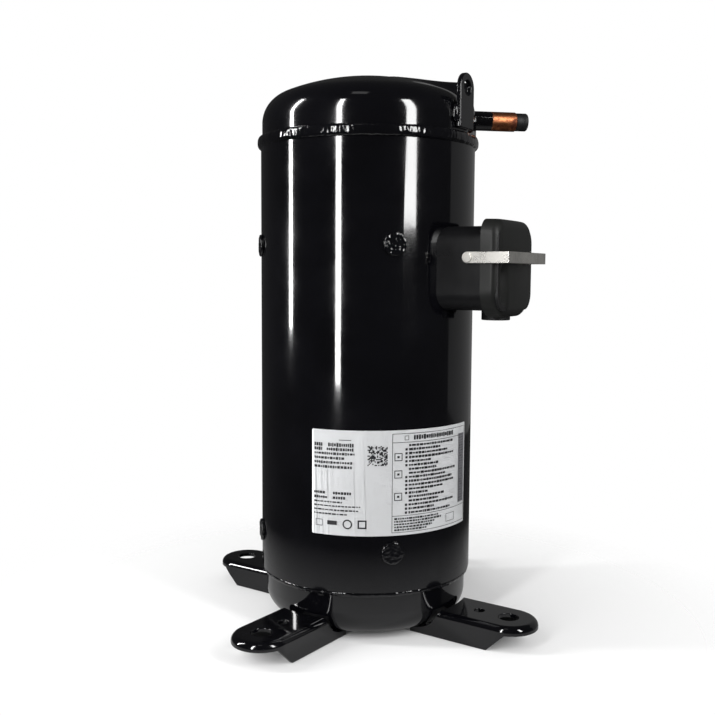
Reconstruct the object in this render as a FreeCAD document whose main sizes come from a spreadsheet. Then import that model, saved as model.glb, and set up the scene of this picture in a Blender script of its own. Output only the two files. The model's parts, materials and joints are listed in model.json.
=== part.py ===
import FreeCAD, Part
import Sketcher
import math
import os

# Scroll compressor: a welded steel shell on four feet, with the motor, crankshaft and scroll set inside it.
# Millimetres. The axis of the shell is Z, and z = 0 is the underside of the foot plates, at the middle of
# the bolt pattern. Angles are measured in degrees from +X, which is the side of the discharge tube.

os.makedirs("parts", exist_ok=True)
doc = FreeCAD.newDocument("scroll_compressor")
sheet = doc.addObject("Spreadsheet::Sheet", "Dims")
nodes = []


# ---------------------------------------------------------------------------------------------------------
# Sizes that remember the expression they come from
# ---------------------------------------------------------------------------------------------------------

class Size:
    """A number together with the spreadsheet expression that gives it."""

    def __init__(self, value, text):
        self.value = float(value)
        self.text = text

    def __add__(self, other):
        other = as_size(other)
        return Size(self.value + other.value, "(%s + %s)" % (self.text, other.text))

    def __sub__(self, other):
        other = as_size(other)
        return Size(self.value - other.value, "(%s - %s)" % (self.text, other.text))

    def __mul__(self, other):
        other = as_size(other)
        return Size(self.value * other.value, "(%s * %s)" % (self.text, other.text))

    def __truediv__(self, other):
        other = as_size(other)
        return Size(self.value / other.value, "(%s / %s)" % (self.text, other.text))

    def __radd__(self, other):
        return as_size(other) + self

    def __rsub__(self, other):
        return as_size(other) - self

    def __rmul__(self, other):
        return as_size(other) * self

    def __neg__(self):
        return as_size(0) - self

    def __float__(self):
        return self.value


def as_size(amount):
    return amount if isinstance(amount, Size) else Size(amount, "(%s)" % repr(amount))


def root(amount):
    return Size(math.sqrt(amount.value), "sqrt(%s)" % amount.text)


def cosine(angle):
    angle = as_size(angle)
    return Size(math.cos(math.radians(angle.value)), "cos(%s * 1 deg)" % angle.text)


def sine(angle):
    angle = as_size(angle)
    return Size(math.sin(math.radians(angle.value)), "sin(%s * 1 deg)" % angle.text)


def driving(name, value, note):
    """A driving dimension: one row of the spreadsheet, with the name as its alias."""
    row = driving.row
    driving.row += 1
    sheet.set("A%d" % row, name)
    sheet.set("B%d" % row, repr(value))
    sheet.setAlias("B%d" % row, name)
    sheet.set("C%d" % row, note)
    return Size(value, "Dims." + name)


driving.row = 1

# Clearances
running_gap = driving("running_gap", 0.04, "radial play of a shaft in its bearing")
slip_gap = driving("slip_gap", 0.1, "play of a piece that drops into a bore or over a tube")
moving_gap = driving("moving_gap", 0.5, "space between faces that pass each other")
flank_gap = driving("flank_gap", 0.3, "space between the flanks of the two scrolls")

# Shell and caps
shell_radius = driving("shell_radius", 87.5, "outside of the shell")
shell_wall = driving("shell_wall", 3.5, "shell wall")
shell_bottom = driving("shell_bottom", 24.9, "lower lip of the shell")
shell_top = driving("shell_top", 370.9, "upper end of the shell")
cap_step = driving("cap_step", 1.1, "how much slimmer the upper cap is than the shell")
cap_radius = shell_radius - cap_step
cap_wall = driving("cap_wall", 3.5, "wall of both caps")
cap_crown = driving("cap_crown", 186.0, "crown radius of the upper cap")
cap_knuckle = driving("cap_knuckle", 24.5, "knuckle radius of the upper cap")
cap_apex = driving("cap_apex", 425.0, "top of the upper cap")
shoulder_top = driving("shoulder_top", 421.0, "flat top of the shoulder beside the discharge tube")
shoulder_half = driving("shoulder_half", 21.0, "half width of the shoulder")
shoulder_step = driving("shoulder_step", 2.2, "how far the shoulder's face lies inside the cap's outside")
shoulder_reach = cap_radius - shoulder_step
shoulder_start = driving("shoulder_start", 30.0, "inner end of the shoulder")
shoulder_round = driving("shoulder_round", 9.0, "rounding of the shoulder")
base_crown = driving("base_crown", 700.0, "crown radius of the lower cap")
base_knuckle = driving("base_knuckle", 20.0, "knuckle radius of the lower cap")
base_bottom = driving("base_bottom", -16.0, "underside of the lower cap")
base_top = driving("base_top", 45.0, "rim of the lower cap, inside the shell")

# Welds
seam_bead = driving("seam_bead", 5.2, "radius of the bead at the upper seam")
seam_stand = driving("seam_stand", 2.7, "how far that bead stands out of the shell")
toe_height = driving("toe_height", 4.0, "height of the fillet weld at the lower lip")
toe_width = driving("toe_width", 3.2, "width of the fillet weld at the lower lip")
plug_radius = driving("plug_radius", 8.8, "button of a plug weld")
plug_core = driving("plug_core", 6.5, "hole in the shell that a plug weld fills")
plug_stand = driving("plug_stand", 2.0, "how far a plug weld stands out of the shell")
plug_angle = driving("plug_angle", -87.0, "direction of the first plug weld")
upper_plugs = driving("upper_plugs", 289.7, "height of the plug welds of the main frame")
lower_plugs = driving("lower_plugs", 55.8, "height of the plug welds of the lower bearing frame")

# Feet
mount_square = driving("mount_square", 190.5, "side of the square of mounting holes")
foot_width = driving("foot_width", 46.0, "width of a foot")
foot_plate = driving("foot_plate", 3.2, "sheet of a foot")
foot_bend = driving("foot_bend", 5.0, "outer bend radius of a foot")
foot_hole = driving("foot_hole", 16.0, "mounting hole")
pilot_hole = driving("pilot_hole", 8.5, "small hole inboard of the mounting hole")
pilot_radius = driving("pilot_radius", 109.5, "distance of the small hole from the axis")
flange_depth = driving("flange_depth", 17.6, "depth of the side flanges below the plate's underside")
flange_start = driving("flange_start", 59.4, "inner end of the flanges")
flange_end = driving("flange_end", 127.0, "outer end of the flanges' straight lower edge")
lip_start = driving("lip_start", 141.7, "where the sloping edge meets the lip")
lip_depth = driving("lip_depth", 3.6, "depth of the lip below the plate's underside")
foot_gap = driving("foot_gap", 4.0, "gap between a foot plate and the lower cap")
weld_bead = driving("weld_bead", 3.4, "radius of a short weld bead")

# Lifting lug
lug_angle = driving("lug_angle", -43.1, "direction of the lifting lug")
lug_width = driving("lug_width", 22.4, "width of the lug")
lug_sheet = driving("lug_sheet", 4.0, "thickness of the lug")
lug_bottom = driving("lug_bottom", 379.3, "lower edge of the lug")
lug_eye = driving("lug_eye", 410.0, "height of the eye")
lug_hole = driving("lug_hole", 11.5, "diameter of the eye")

# Tubes
discharge_tube_radius = driving("discharge_tube_radius", 7.94, "outside of the discharge tube")
suction_tube_radius = driving("suction_tube_radius", 11.11, "outside of the suction tube")
tube_wall = driving("tube_wall", 1.1, "wall of both tubes")
discharge_height = driving("discharge_height", 395.5, "height of the discharge tube's axis")
discharge_length = driving("discharge_length", 39.0, "discharge tube outside the cap")
discharge_end = cap_radius + discharge_length
suction_height = driving("suction_height", 228.0, "height of the suction tube's axis")
suction_length = driving("suction_length", 40.5, "suction tube outside the shell")
suction_end = shell_radius + suction_length
fitting_wall = driving("fitting_wall", 3.2, "wall of the suction fitting")
fitting_length = driving("fitting_length", 10.5, "suction fitting outside the shell")
fitting_end = shell_radius + fitting_length
spigot_step = driving("spigot_step", 0.3, "how much slimmer a tube is where it passes through the wall")
stopper_head = driving("stopper_head", 10.4, "length of a rubber stopper's head")
stopper_stem = driving("stopper_stem", 12.0, "length of a rubber stopper's stem")
stopper_step = driving("stopper_step", 0.6, "how much slimmer a stopper's head is than its tube")

# Terminal box
box_angle = driving("box_angle", -40.6, "direction of the terminal box")
box_height = driving("box_height", 272.0, "height of the middle of the terminal box")
fence_half_width = driving("fence_half_width", 34.4, "half width of the fence")
fence_half_height = driving("fence_half_height", 31.7, "half height of the fence")
fence_corner = driving("fence_corner", 13.0, "corner radius of the fence")
fence_wall = driving("fence_wall", 1.5, "sheet of the fence")
fence_depth = driving("fence_depth", 40.5, "depth of the fence in front of the shell")
fence_front = shell_radius + fence_depth
cover_half_width = driving("cover_half_width", 37.0, "half width of the cover")
cover_half_height = driving("cover_half_height", 36.8, "half height of the cover")
cover_corner = driving("cover_corner", 12.0, "corner radius of the cover")
cover_wall = driving("cover_wall", 2.0, "wall of the cover")
rim_depth = driving("rim_depth", 29.5, "distance of the cover's rim from the shell")
cover_rim = shell_radius + rim_depth
cover_lap = driving("cover_lap", 4.3, "how far the cover stands in front of the fence")
cover_front = fence_front + cover_lap
cover_round = driving("cover_round", 4.5, "rounding of the cover's front edge")
gasket_width = driving("gasket_width", 3.5, "width of the gasket behind the cover")
outlet_radius = driving("outlet_radius", 11.0, "outside of the cable outlet")
outlet_bore = driving("outlet_bore", 8.0, "bore of the cable outlet")
outlet_depth = driving("outlet_depth", 27.5, "distance of the cable outlet from the shell")
outlet_middle = shell_radius + outlet_depth
outlet_drop = driving("outlet_drop", 39.4, "how far the cable outlet reaches below the middle of the box")
outlet_bottom = box_height - outlet_drop
strap_rise = driving("strap_rise", 8.0, "height of the strap above the middle of the box")
strap_height = box_height + strap_rise
strap_band = driving("strap_band", 8.5, "width of the strap")
strap_sheet = driving("strap_sheet", 1.2, "thickness of the strap")
pivot_depth = driving("pivot_depth", 20.0, "distance of the strap's pins from the shell")
strap_pivot = shell_radius + pivot_depth
strap_stand = driving("strap_stand", 7.9, "how far the strap's face stands in front of the cover")
strap_front = cover_front + strap_stand
strap_pin = driving("strap_pin", 2.0, "radius of the strap's pins")
terminal_radius = driving("terminal_radius", 17.0, "sealed terminal")
terminal_circle = driving("terminal_circle", 8.5, "circle of the three terminal pins")
terminal_pin = driving("terminal_pin", 1.6, "radius of a terminal pin")
bead_radius = driving("bead_radius", 3.6, "glass bead around a terminal pin")

# Label
label_start = driving("label_start", -128.5, "left edge of the label")
label_sweep = driving("label_sweep", 91.8, "sweep of the label around the shell")
label_bottom = driving("label_bottom", 69.3, "lower edge of the label")
label_height = driving("label_height", 80.7, "height of the label")
label_film = driving("label_film", 0.3, "thickness of the label")

# Scroll set
wrap_pitch = driving("wrap_pitch", 18.0, "pitch of both wraps")
wrap_wall = driving("wrap_wall", 4.0, "thickness of both wraps")
wrap_depth = driving("wrap_depth", 30.0, "depth of the wraps")
wrap_first = driving("wrap_first", 230.0, "involute angle at which the wraps begin")
wrap_last = driving("wrap_last", 1035.0, "involute angle at which the wraps end")
orbit_plate_radius = driving("orbit_plate_radius", 62.0, "plate of the orbiting scroll")
orbit_plate_bottom = driving("orbit_plate_bottom", 314.4, "underside of that plate")
orbit_plate_height = driving("orbit_plate_height", 10.0, "thickness of that plate")
orbit_hub_radius = driving("orbit_hub_radius", 21.0, "hub of the orbiting scroll")
orbit_hub_depth = driving("orbit_hub_depth", 19.9, "depth of that hub")
skirt_inside = driving("skirt_inside", 60.5, "inside of the fixed scroll's skirt")
skirt_outside = driving("skirt_outside", 70.0, "outside of the fixed scroll's skirt")
fixed_plate_height = driving("fixed_plate_height", 15.7, "thickness of the fixed scroll's plate")
port_radius = driving("port_radius", 5.0, "discharge port")
valve_hub_inside = driving("valve_hub_inside", 16.0, "inside of the hub around the discharge valve")
valve_hub_outside = driving("valve_hub_outside", 26.5, "outside of that hub")
valve_hub_height = driving("valve_hub_height", 8.0, "height of that hub")
valve_radius = driving("valve_radius", 8.5, "valve disc")
valve_sheet = driving("valve_sheet", 1.2, "thickness of the valve disc")
valve_lift = driving("valve_lift", 2.5, "lift of the valve disc")
seal_width = driving("seal_width", 1.6, "width of a tip seal")
seal_height = driving("seal_height", 1.4, "height of a tip seal")
ear_width = driving("ear_width", 22.0, "width of a fixing ear")
ear_height = driving("ear_height", 7.6, "height of a fixing ear")
post_depth = driving("post_depth", 13.0, "depth of the frame's posts inward from the shell")
post_start = shell_radius - shell_wall - post_depth
bolt_radius = driving("bolt_radius", 4.0, "shank of the frame bolts")
bolt_head = driving("bolt_head", 6.4, "head radius of the frame bolts")
bolt_inset = driving("bolt_inset", 7.0, "distance of the frame bolts from the inside of the shell")
bolt_circle = shell_radius - shell_wall - bolt_inset
separator_sheet = driving("separator_sheet", 3.0, "separator plate")
ring_inside = driving("ring_inside", 51.5, "inside of the Oldham ring")
ring_outside = driving("ring_outside", 60.0, "outside of the Oldham ring")
ring_height = driving("ring_height", 7.0, "thickness of the Oldham ring")
key_width = driving("key_width", 8.0, "width of the Oldham ring's keys")
key_height = driving("key_height", 3.6, "height of the Oldham ring's keys")

# Crankshaft and bearings
lower_journal = driving("lower_journal", 9.0, "lower journal radius")
shaft_body = driving("shaft_body", 12.5, "shaft radius in the rotor")
upper_journal = driving("upper_journal", 16.0, "upper journal radius")
crank_pin = driving("crank_pin", 11.0, "eccentric pin radius")
bush_wall = driving("bush_wall", 3.0, "wall of every bearing bush")
shaft_bottom = driving("shaft_bottom", 18.0, "lower end of the shaft")
washer_height = driving("washer_height", 2.0, "thrust washer")
journal_start = driving("journal_start", 238.0, "lower end of the upper journal")
frame_hub_bottom = driving("frame_hub_bottom", 242.0, "lower end of the main frame's hub")
frame_floor = driving("frame_floor", 291.0, "floor of the main frame's pocket")
frame_pocket = driving("frame_pocket", 30.0, "radius of the main frame's pocket")
frame_thrust = driving("frame_thrust", 46.0, "outside of the main frame's thrust face")
frame_disc = driving("frame_disc", 58.0, "radius of the main frame's disc")
frame_lobe = driving("frame_lobe", 36.0, "width of the main frame's lobes")
frame_height = driving("frame_height", 20.0, "height of the main frame's lobes")
pin_height = driving("pin_height", 19.0, "length of the eccentric pin")
oil_bore = driving("oil_bore", 2.5, "radius of the oil bore")
pickup_radius = driving("pickup_radius", 6.5, "oil pickup tube")
pickup_bottom = driving("pickup_bottom", -9.5, "lower end of the oil pickup tube")
pickup_seat = driving("pickup_seat", 8.0, "depth of the pickup tube in the shaft")
spider_height = driving("spider_height", 16.0, "height of the lower bearing frame's rim")
spider_rim = driving("spider_rim", 8.0, "width of that rim")
spider_arm = driving("spider_arm", 18.0, "width of its arms")
spider_hub = driving("spider_hub", 20.0, "radius of its hub")

# Motor
stack_bottom = driving("stack_bottom", 92.0, "lower end of the stator core")
stack_height = driving("stack_height", 90.0, "height of the stator core")
stator_bore = driving("stator_bore", 45.0, "bore of the stator")
air_gap = driving("air_gap", 0.6, "air gap of the motor")
slot_count = driving("slot_count", 24, "slots of the stator")
slot_width = driving("slot_width", 5.0, "width of a slot")
slot_end = driving("slot_end", 64.0, "bottom of a slot, from the axis")
turns_inside = driving("turns_inside", 47.0, "inside of the end turns")
turns_outside = driving("turns_outside", 66.0, "outside of the end turns")
turns_height = driving("turns_height", 25.0, "height of the upper end turns")
turns_depth = driving("turns_depth", 18.0, "depth of the lower end turns")
end_ring_inside = driving("end_ring_inside", 28.0, "inside of the rotor's end rings")
end_ring_height = driving("end_ring_height", 8.0, "height of the rotor's end rings")
weight_height = driving("weight_height", 15.0, "height of the upper balance weight")
weight_depth = driving("weight_depth", 11.0, "depth of the lower balance weight")

# Sizes worked out from the driving ones
shell_bore = shell_radius - shell_wall
inner_fit = shell_bore - slip_gap
base_radius = shell_bore - 3 * slip_gap
cap_start = shell_top + separator_sheet
hole_distance = mount_square / root(as_size(2))
orbit_radius = wrap_pitch / 2 - wrap_wall - flank_gap
wrap_floor = orbit_plate_bottom + orbit_plate_height
fixed_face = wrap_floor + wrap_depth
fixed_top = fixed_face + fixed_plate_height
frame_bottom = upper_plugs - frame_height / 2
frame_shelf = upper_plugs + frame_height / 2
ring_top = orbit_plate_bottom - moving_gap
ring_bottom = ring_top - ring_height
pin_bottom = frame_floor + 1
spider_bottom = lower_plugs - spider_height / 2
spider_top = lower_plugs + spider_height / 2
stack_top = stack_bottom + stack_height
rotor_radius = stator_bore - air_gap


# ---------------------------------------------------------------------------------------------------------
# Building blocks
# ---------------------------------------------------------------------------------------------------------

def bind(thing, prop, amount):
    thing.setExpression(prop, as_size(amount).text)


def place(thing, x=0, y=0, z=0, turn=0, tilt=0):
    """Put a piece at x, y, z, tilted about Y first and then turned about Z."""
    texts = tuple(as_size(a).text for a in (x, y, z, turn, tilt))
    thing.setExpression("Placement", "placement(vector(%s; %s; %s); rotation(%s; %s; 0))" % texts)
    return thing


def polar(angle, out, across=0):
    """x and y of a point that lies `out` along a direction and `across` to its left."""
    out, across = as_size(out), as_size(across)
    x = out * cosine(angle) - across * sine(angle)
    y = out * sine(angle) + across * cosine(angle)
    return x, y


def cylinder(name, radius, bottom, top, x=0, y=0):
    made = doc.addObject("Part::Cylinder", name)
    bind(made, "Radius", radius)
    bind(made, "Height", as_size(top) - bottom)
    return place(made, x, y, bottom)


def radial_cylinder(name, radius, angle, start, end, across, height):
    """A cylinder that points away from the axis."""
    made = doc.addObject("Part::Cylinder", name)
    bind(made, "Radius", radius)
    bind(made, "Height", as_size(end) - start)
    x, y = polar(angle, start, across)
    return place(made, x, y, height, angle, 90)


def block(name, angle, start, end, half_width, bottom, top, across=0):
    """A box from start to end along a direction, centred `across` to its left."""
    made = doc.addObject("Part::Box", name)
    bind(made, "Length", as_size(end) - start)
    bind(made, "Width", 2 * as_size(half_width))
    bind(made, "Height", as_size(top) - bottom)
    x, y = polar(angle, start, as_size(across) - half_width)
    return place(made, x, y, bottom, angle)


def cut(name, base, *tools):
    made = doc.addObject("Part::Cut", name)
    made.Base = base
    made.Tool = tools[0] if len(tools) == 1 else fuse(name + "_tools", *tools)
    return made


def fuse(name, *shapes):
    made = doc.addObject("Part::MultiFuse", name)
    made.Shapes = list(shapes)
    return made


def common(name, *shapes):
    made = doc.addObject("Part::MultiCommon", name)
    made.Shapes = list(shapes)
    return made


def group(name, *shapes):
    made = doc.addObject("Part::Compound", name)
    made.Links = list(shapes)
    return made


def tube(name, outer, inner, bottom, top):
    wall = cylinder(name + "_outside", outer, bottom, top)
    bore = cylinder(name + "_bore", inner, as_size(bottom) - 1, as_size(top) + 1)
    return cut(name, wall, bore)


def radial_tube(name, outer, inner, angle, start, end, height):
    wall = radial_cylinder(name + "_outside", outer, angle, start, end, 0, height)
    bore = radial_cylinder(name + "_bore", inner, angle, as_size(start) - 1, as_size(end) + 1, 0, height)
    return cut(name, wall, bore)


def plane_of(body, role):
    return [plane for plane in body.Origin.OriginFeatures if plane.Role == role][0]


def sketch_on(body, role, corners, name):
    """A closed outline on an origin plane. A corner is (x, y), or (x, y, (cx, cy, turn)) where an arc
    about cx, cy starts there: turn is 1 for anticlockwise and -1 for clockwise."""
    drawn = body.newObject("Sketcher::SketchObject", name)
    drawn.AttachmentSupport = (plane_of(body, role), [""])
    drawn.MapMode = "FlatFace"
    count = len(corners)
    points = [(as_size(corner[0]), as_size(corner[1])) for corner in corners]
    starts = []
    for i, corner in enumerate(corners):
        a, b = points[i], points[(i + 1) % count]
        if len(corner) == 2:
            drawn.addGeometry(Part.LineSegment(FreeCAD.Vector(float(a[0]), float(a[1]), 0),
                                               FreeCAD.Vector(float(b[0]), float(b[1]), 0)), False)
            starts.append((1, 2))
            continue
        cx, cy, turn = float(as_size(corner[2][0])), float(as_size(corner[2][1])), corner[2][2]
        radius = math.hypot(float(a[0]) - cx, float(a[1]) - cy)
        first = math.atan2(float(a[1]) - cy, float(a[0]) - cx)
        last = math.atan2(float(b[1]) - cy, float(b[0]) - cx)
        if turn < 0:
            first, last = last, first
        circle = Part.Circle(FreeCAD.Vector(cx, cy, 0), FreeCAD.Vector(0, 0, 1), radius)
        drawn.addGeometry(Part.ArcOfCircle(circle, first, last), False)
        starts.append((1, 2) if turn > 0 else (2, 1))
        level = abs(float(a[1]) - float(b[1])) < 1e-6
        kind, middle = ("DistanceY", corner[2][1]) if level else ("DistanceX", corner[2][0])
        where = drawn.addConstraint(Sketcher.Constraint(kind, -1, 1, i, 3, float(as_size(middle))))
        bind(drawn, "Constraints[%d]" % where, middle)
    for i in range(count):
        after = (i + 1) % count
        drawn.addConstraint(Sketcher.Constraint("Coincident", i, starts[i][1], after, starts[after][0]))
    for i, (x, y) in enumerate(points):
        for kind, amount in (("DistanceX", x), ("DistanceY", y)):
            where = drawn.addConstraint(Sketcher.Constraint(kind, -1, 1, i, starts[i][0], float(amount)))
            bind(drawn, "Constraints[%d]" % where, amount)
    return drawn


def turned(name, corners):
    """A body turned about Z from an outline of (radius, height) corners."""
    body = doc.addObject("PartDesign::Body", name)
    outline = sketch_on(body, "XZ_Plane", corners, name + "_outline")
    turn = body.newObject("PartDesign::Revolution", name + "_turned")
    turn.Profile = outline
    turn.ReferenceAxis = (outline, ["V_Axis"])
    turn.Angle = 360
    outline.Visibility = False
    return body


def extruded(name, role, corners, start, length):
    """A body extruded from an outline on an origin plane, `start` along the plane's normal."""
    body = doc.addObject("PartDesign::Body", name)
    outline = sketch_on(body, role, corners, name + "_outline")
    bind(outline, "AttachmentOffset.Base.z", start)
    pad = body.newObject("PartDesign::Pad", name + "_pad")
    pad.Profile = outline
    bind(pad, "Length", length)
    outline.Visibility = False
    return body


def rounded(body, radius, wanted):
    """Fillet the edges of a body's last feature that `wanted` picks."""
    doc.recompute()
    last = body.Tip
    names = ["Edge%d" % (i + 1) for i, edge in enumerate(last.Shape.Edges) if wanted(edge)]
    fillet = body.newObject("PartDesign::Fillet", body.Name + "_fillet")
    fillet.Base = (last, names)
    bind(fillet, "Radius", radius)
    body.Tip = fillet
    return body


def rectangle(half_width, bottom, top):
    return [(-as_size(half_width), bottom), (half_width, bottom), (half_width, top), (-as_size(half_width), top)]


def dish(name, radius, crown, knuckle, tip, rim, way):
    """The solid outline of a dished cap. `way` is 1 when the crown is at the top and -1 below."""
    drop = as_size(crown) - root(as_size(crown) * crown - as_size(radius) * radius)
    edge = as_size(tip) - way * drop
    centre = (0, as_size(tip) - way * as_size(crown), way)
    body = turned(name, [(0, rim), (radius, rim), (radius, edge, centre), (0, tip)])

    def at_edge(found):
        box = found.BoundBox
        return abs(box.ZMax - float(edge)) < 0.01 and box.ZLength < 0.01 and box.XLength > float(radius)

    return rounded(body, knuckle, at_edge)


def node(thing, label):
    """Give a sub-part its name and keep it for the export."""
    thing.Label = label
    nodes.append(thing)
    return thing


def quarter_angles(first):
    return [first + 90 * i for i in range(4)]


# ---------------------------------------------------------------------------------------------------------
# Shell, caps and welds
# ---------------------------------------------------------------------------------------------------------

def plug_weld(name, angle, height):
    """A weld that fills its hole in the shell and stands out of it as a flat button."""
    core = radial_cylinder(name + "_core", plug_core - slip_gap / 2, angle, inner_fit, shell_radius + 1, 0, height)
    button = radial_cylinder(name + "_button", plug_radius, angle, shell_radius - plug_stand,
                             shell_radius + plug_stand, 0, height)
    inside = cylinder(name + "_inside", shell_radius, height - 2 * plug_radius, height + 2 * plug_radius)
    return fuse(name, core, cut(name + "_rim", button, inside))


def build_welds():
    upper = [plug_weld("frame_plug_%d" % i, a, upper_plugs) for i, a in enumerate(quarter_angles(plug_angle))]
    lower = [plug_weld("spider_plug_%d" % i, a, lower_plugs) for i, a in enumerate(quarter_angles(plug_angle))]
    node(group("frame_plug_group", *upper), "frame_plug_welds")
    node(group("spider_plug_group", *lower), "bearing_plug_welds")

    bead = doc.addObject("Part::Torus", "seam_torus")
    bind(bead, "Radius1", shell_radius + seam_stand - seam_bead)
    bind(bead, "Radius2", seam_bead)
    seam_middle = shell_top + separator_sheet / 2
    place(bead, 0, 0, seam_middle)
    below = cylinder("seam_below", shell_radius, shell_top - 3 * seam_bead, seam_middle)
    above = cylinder("seam_above", cap_radius, shell_top, shell_top + 3 * seam_bead)
    node(cut("upper_seam", bead, below, above), "upper_seam_weld")

    toe = [(base_radius, shell_bottom), (base_radius, shell_bottom - toe_height), (base_radius + toe_width, shell_bottom)]
    node(turned("lower_seam", toe), "lower_seam_weld")


def build_shell():
    wall = tube("shell_tube", shell_radius, shell_bore, shell_bottom, shell_top)
    holes = []
    for height, row in ((upper_plugs, "upper"), (lower_plugs, "lower")):
        for i, angle in enumerate(quarter_angles(plug_angle)):
            holes.append(radial_cylinder("%s_plug_hole_%d" % (row, i), plug_core, angle,
                                         shell_bore - 2, shell_radius + 2, 0, height))
    holes.append(radial_cylinder("terminal_hole", terminal_radius + slip_gap, box_angle,
                                 shell_bore - 5, shell_radius + 2, 0, box_height))
    holes.append(radial_cylinder("suction_hole", suction_tube_radius + fitting_wall + slip_gap, 90,
                                 shell_bore - 5, shell_radius + 2, 0, suction_height))
    node(cut("shell", wall, *holes), "main_shell")


def shoulder(name, reach, half_width, top, rounding):
    body = extruded(name, "XY_Plane", [(shoulder_start, -half_width), (reach, -half_width), (reach, half_width),
                                       (shoulder_start, half_width)], cap_start, top - cap_start)

    def outer_edges(found):
        box = found.BoundBox
        upright = box.ZLength > 1 and box.XMax > float(shoulder_start) + 1
        rim = box.ZLength < 0.01 and box.ZMax > float(top) - 0.01 and box.XMax > float(shoulder_start) + 1
        return upright or rim

    return rounded(body, rounding, outer_edges)


def build_upper_cap():
    outside = fuse("upper_cap_outside",
                   dish("cap_outside", cap_radius, cap_crown, cap_knuckle, cap_apex, cap_start, 1),
                   shoulder("shoulder_outside", shoulder_reach, shoulder_half, shoulder_top, shoulder_round))
    inside = fuse("upper_cap_inside",
                  dish("cap_inside", cap_radius - cap_wall, cap_crown - cap_wall, cap_knuckle - cap_wall,
                       cap_apex - cap_wall, cap_start - 1, 1),
                  shoulder("shoulder_inside", shoulder_reach - cap_wall, shoulder_half - cap_wall,
                           shoulder_top - cap_wall, shoulder_round - cap_wall))
    tube_hole = radial_cylinder("discharge_hole", discharge_tube_radius - spigot_step + slip_gap / 2, 0,
                                shoulder_start + 2 * shoulder_round, cap_radius + 5, 0, discharge_height)
    node(cut("cap", outside, inside, tube_hole), "upper_cap")


def build_lower_cap():
    outside = dish("base_outside", base_radius, base_crown, base_knuckle, base_bottom, base_top, -1)
    inside = dish("base_inside", base_radius - cap_wall, base_crown - cap_wall, base_knuckle - cap_wall,
                  base_bottom + cap_wall, base_top + 1, -1)
    node(cut("base", outside, inside), "lower_cap")


# ---------------------------------------------------------------------------------------------------------
# Feet and lifting lug
# ---------------------------------------------------------------------------------------------------------

def foot_slab(name, half_width, tip, start, bottom, top):
    """A strip along +X with a round outer end about the mounting hole."""
    return extruded(name, "XY_Plane", [
        (start, -half_width), (hole_distance, -half_width, (hole_distance, 0, 1)), (hole_distance, half_width),
        (start, half_width)], bottom, as_size(top) - bottom)


def foot(name, angle, clearance):
    """One channel-shaped foot, built along +X and turned to its corner."""
    half = foot_width / 2
    slab = foot_slab(name + "_slab", half, hole_distance, flange_start, -flange_depth, foot_plate)

    def top_edges(found):
        box = found.BoundBox
        on_top = box.ZMin > float(foot_plate) - 0.01
        return on_top and box.XMax > float(flange_start) + 1

    rounded(slab, foot_bend, top_edges)
    side = extruded(name + "_side", "XZ_Plane", [
        (flange_start, -flange_depth), (flange_end, -flange_depth), (lip_start, -lip_depth),
        (hole_distance + foot_width, -lip_depth), (hole_distance + foot_width, foot_plate + 1),
        (flange_start, foot_plate + 1)], -foot_width, 2 * foot_width)
    channel = foot_slab(name + "_channel", half - foot_plate, hole_distance, flange_start - 1,
                        -flange_depth - 1, 0)
    main_hole = cylinder(name + "_hole", foot_hole / 2, -lip_depth, foot_plate + 1, hole_distance)
    small_hole = cylinder(name + "_pilot", pilot_hole / 2, -lip_depth, foot_plate + 1, pilot_radius)
    made = cut(name, common(name + "_blank", slab, side), channel, main_hole, small_hole, clearance)
    return place(made, turn=angle)


def foot_weld(name, angle, side):
    """A short bead between a flange and the underside of the lower cap."""
    bead = doc.addObject("Part::Ellipsoid", name + "_bead")
    bind(bead, "Radius1", weld_bead)
    bind(bead, "Radius2", 3 * weld_bead)
    bind(bead, "Radius3", weld_bead)
    along = flange_start + 3 * weld_bead
    place(bead, along, side * (foot_width / 2 - foot_plate - weld_bead / 4), -flange_depth + weld_bead)
    wall = block(name + "_wall", 0, flange_start - 1, flange_end, foot_plate / 2, -flange_depth - 1, foot_plate,
                 side * (foot_width - foot_plate) / 2)
    bowl = dish(name + "_bowl", base_radius, base_crown, base_knuckle, base_bottom, base_top, -1)
    made = cut(name, bead, wall, bowl)
    return place(made, turn=angle)


def build_feet():
    corners = (("front_right", -45), ("back_right", 45), ("back_left", 135), ("front_left", -135))
    for name, angle in corners:
        clearance = dish("foot_clearance_" + name, base_radius + foot_gap, base_crown, base_knuckle,
                         base_bottom - slip_gap, base_top, -1)
        node(foot("foot_" + name, angle, clearance), "foot_" + name)
    beads = []
    for name, angle in corners:
        beads += [foot_weld("weld_%s_%d" % (name, i), angle, side) for i, side in enumerate((-1, 1))]
    node(group("foot_weld_group", *beads), "foot_welds")


def build_lug():
    half = lug_width / 2
    plate = extruded("lug_plate", "YZ_Plane", [(-half, lug_bottom), (half, lug_bottom),
                                               (half, lug_eye, (0, lug_eye, 1)), (-half, lug_eye)],
                     cap_radius + slip_gap, lug_sheet)
    eye = radial_cylinder("lug_eye", lug_hole / 2, 0, cap_radius - 1, cap_radius + lug_sheet + 1, 0, lug_eye)
    node(place(cut("lug", plate, eye), turn=lug_angle), "lifting_lug")
    beads = []
    for side in (-1, 1):
        name = "lug_weld_%s" % ("left" if side > 0 else "right")
        bead = doc.addObject("Part::Ellipsoid", name + "_bead")
        bind(bead, "Radius1", 2 * weld_bead)
        bind(bead, "Radius2", weld_bead)
        bind(bead, "Radius3", weld_bead)
        place(bead, cap_radius, side * (half + weld_bead / 3), lug_bottom + 3 * weld_bead)
        plate_space = block(name + "_space", 0, cap_radius - 2, cap_radius + lug_sheet + 1, half,
                            lug_bottom - 5, lug_eye)
        cap_space = dish(name + "_cap", cap_radius, cap_crown, cap_knuckle, cap_apex, cap_start, 1)
        beads.append(place(cut(name, bead, plate_space, cap_space), turn=lug_angle))
    node(group("lug_weld_group", *beads), "lug_welds")


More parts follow.
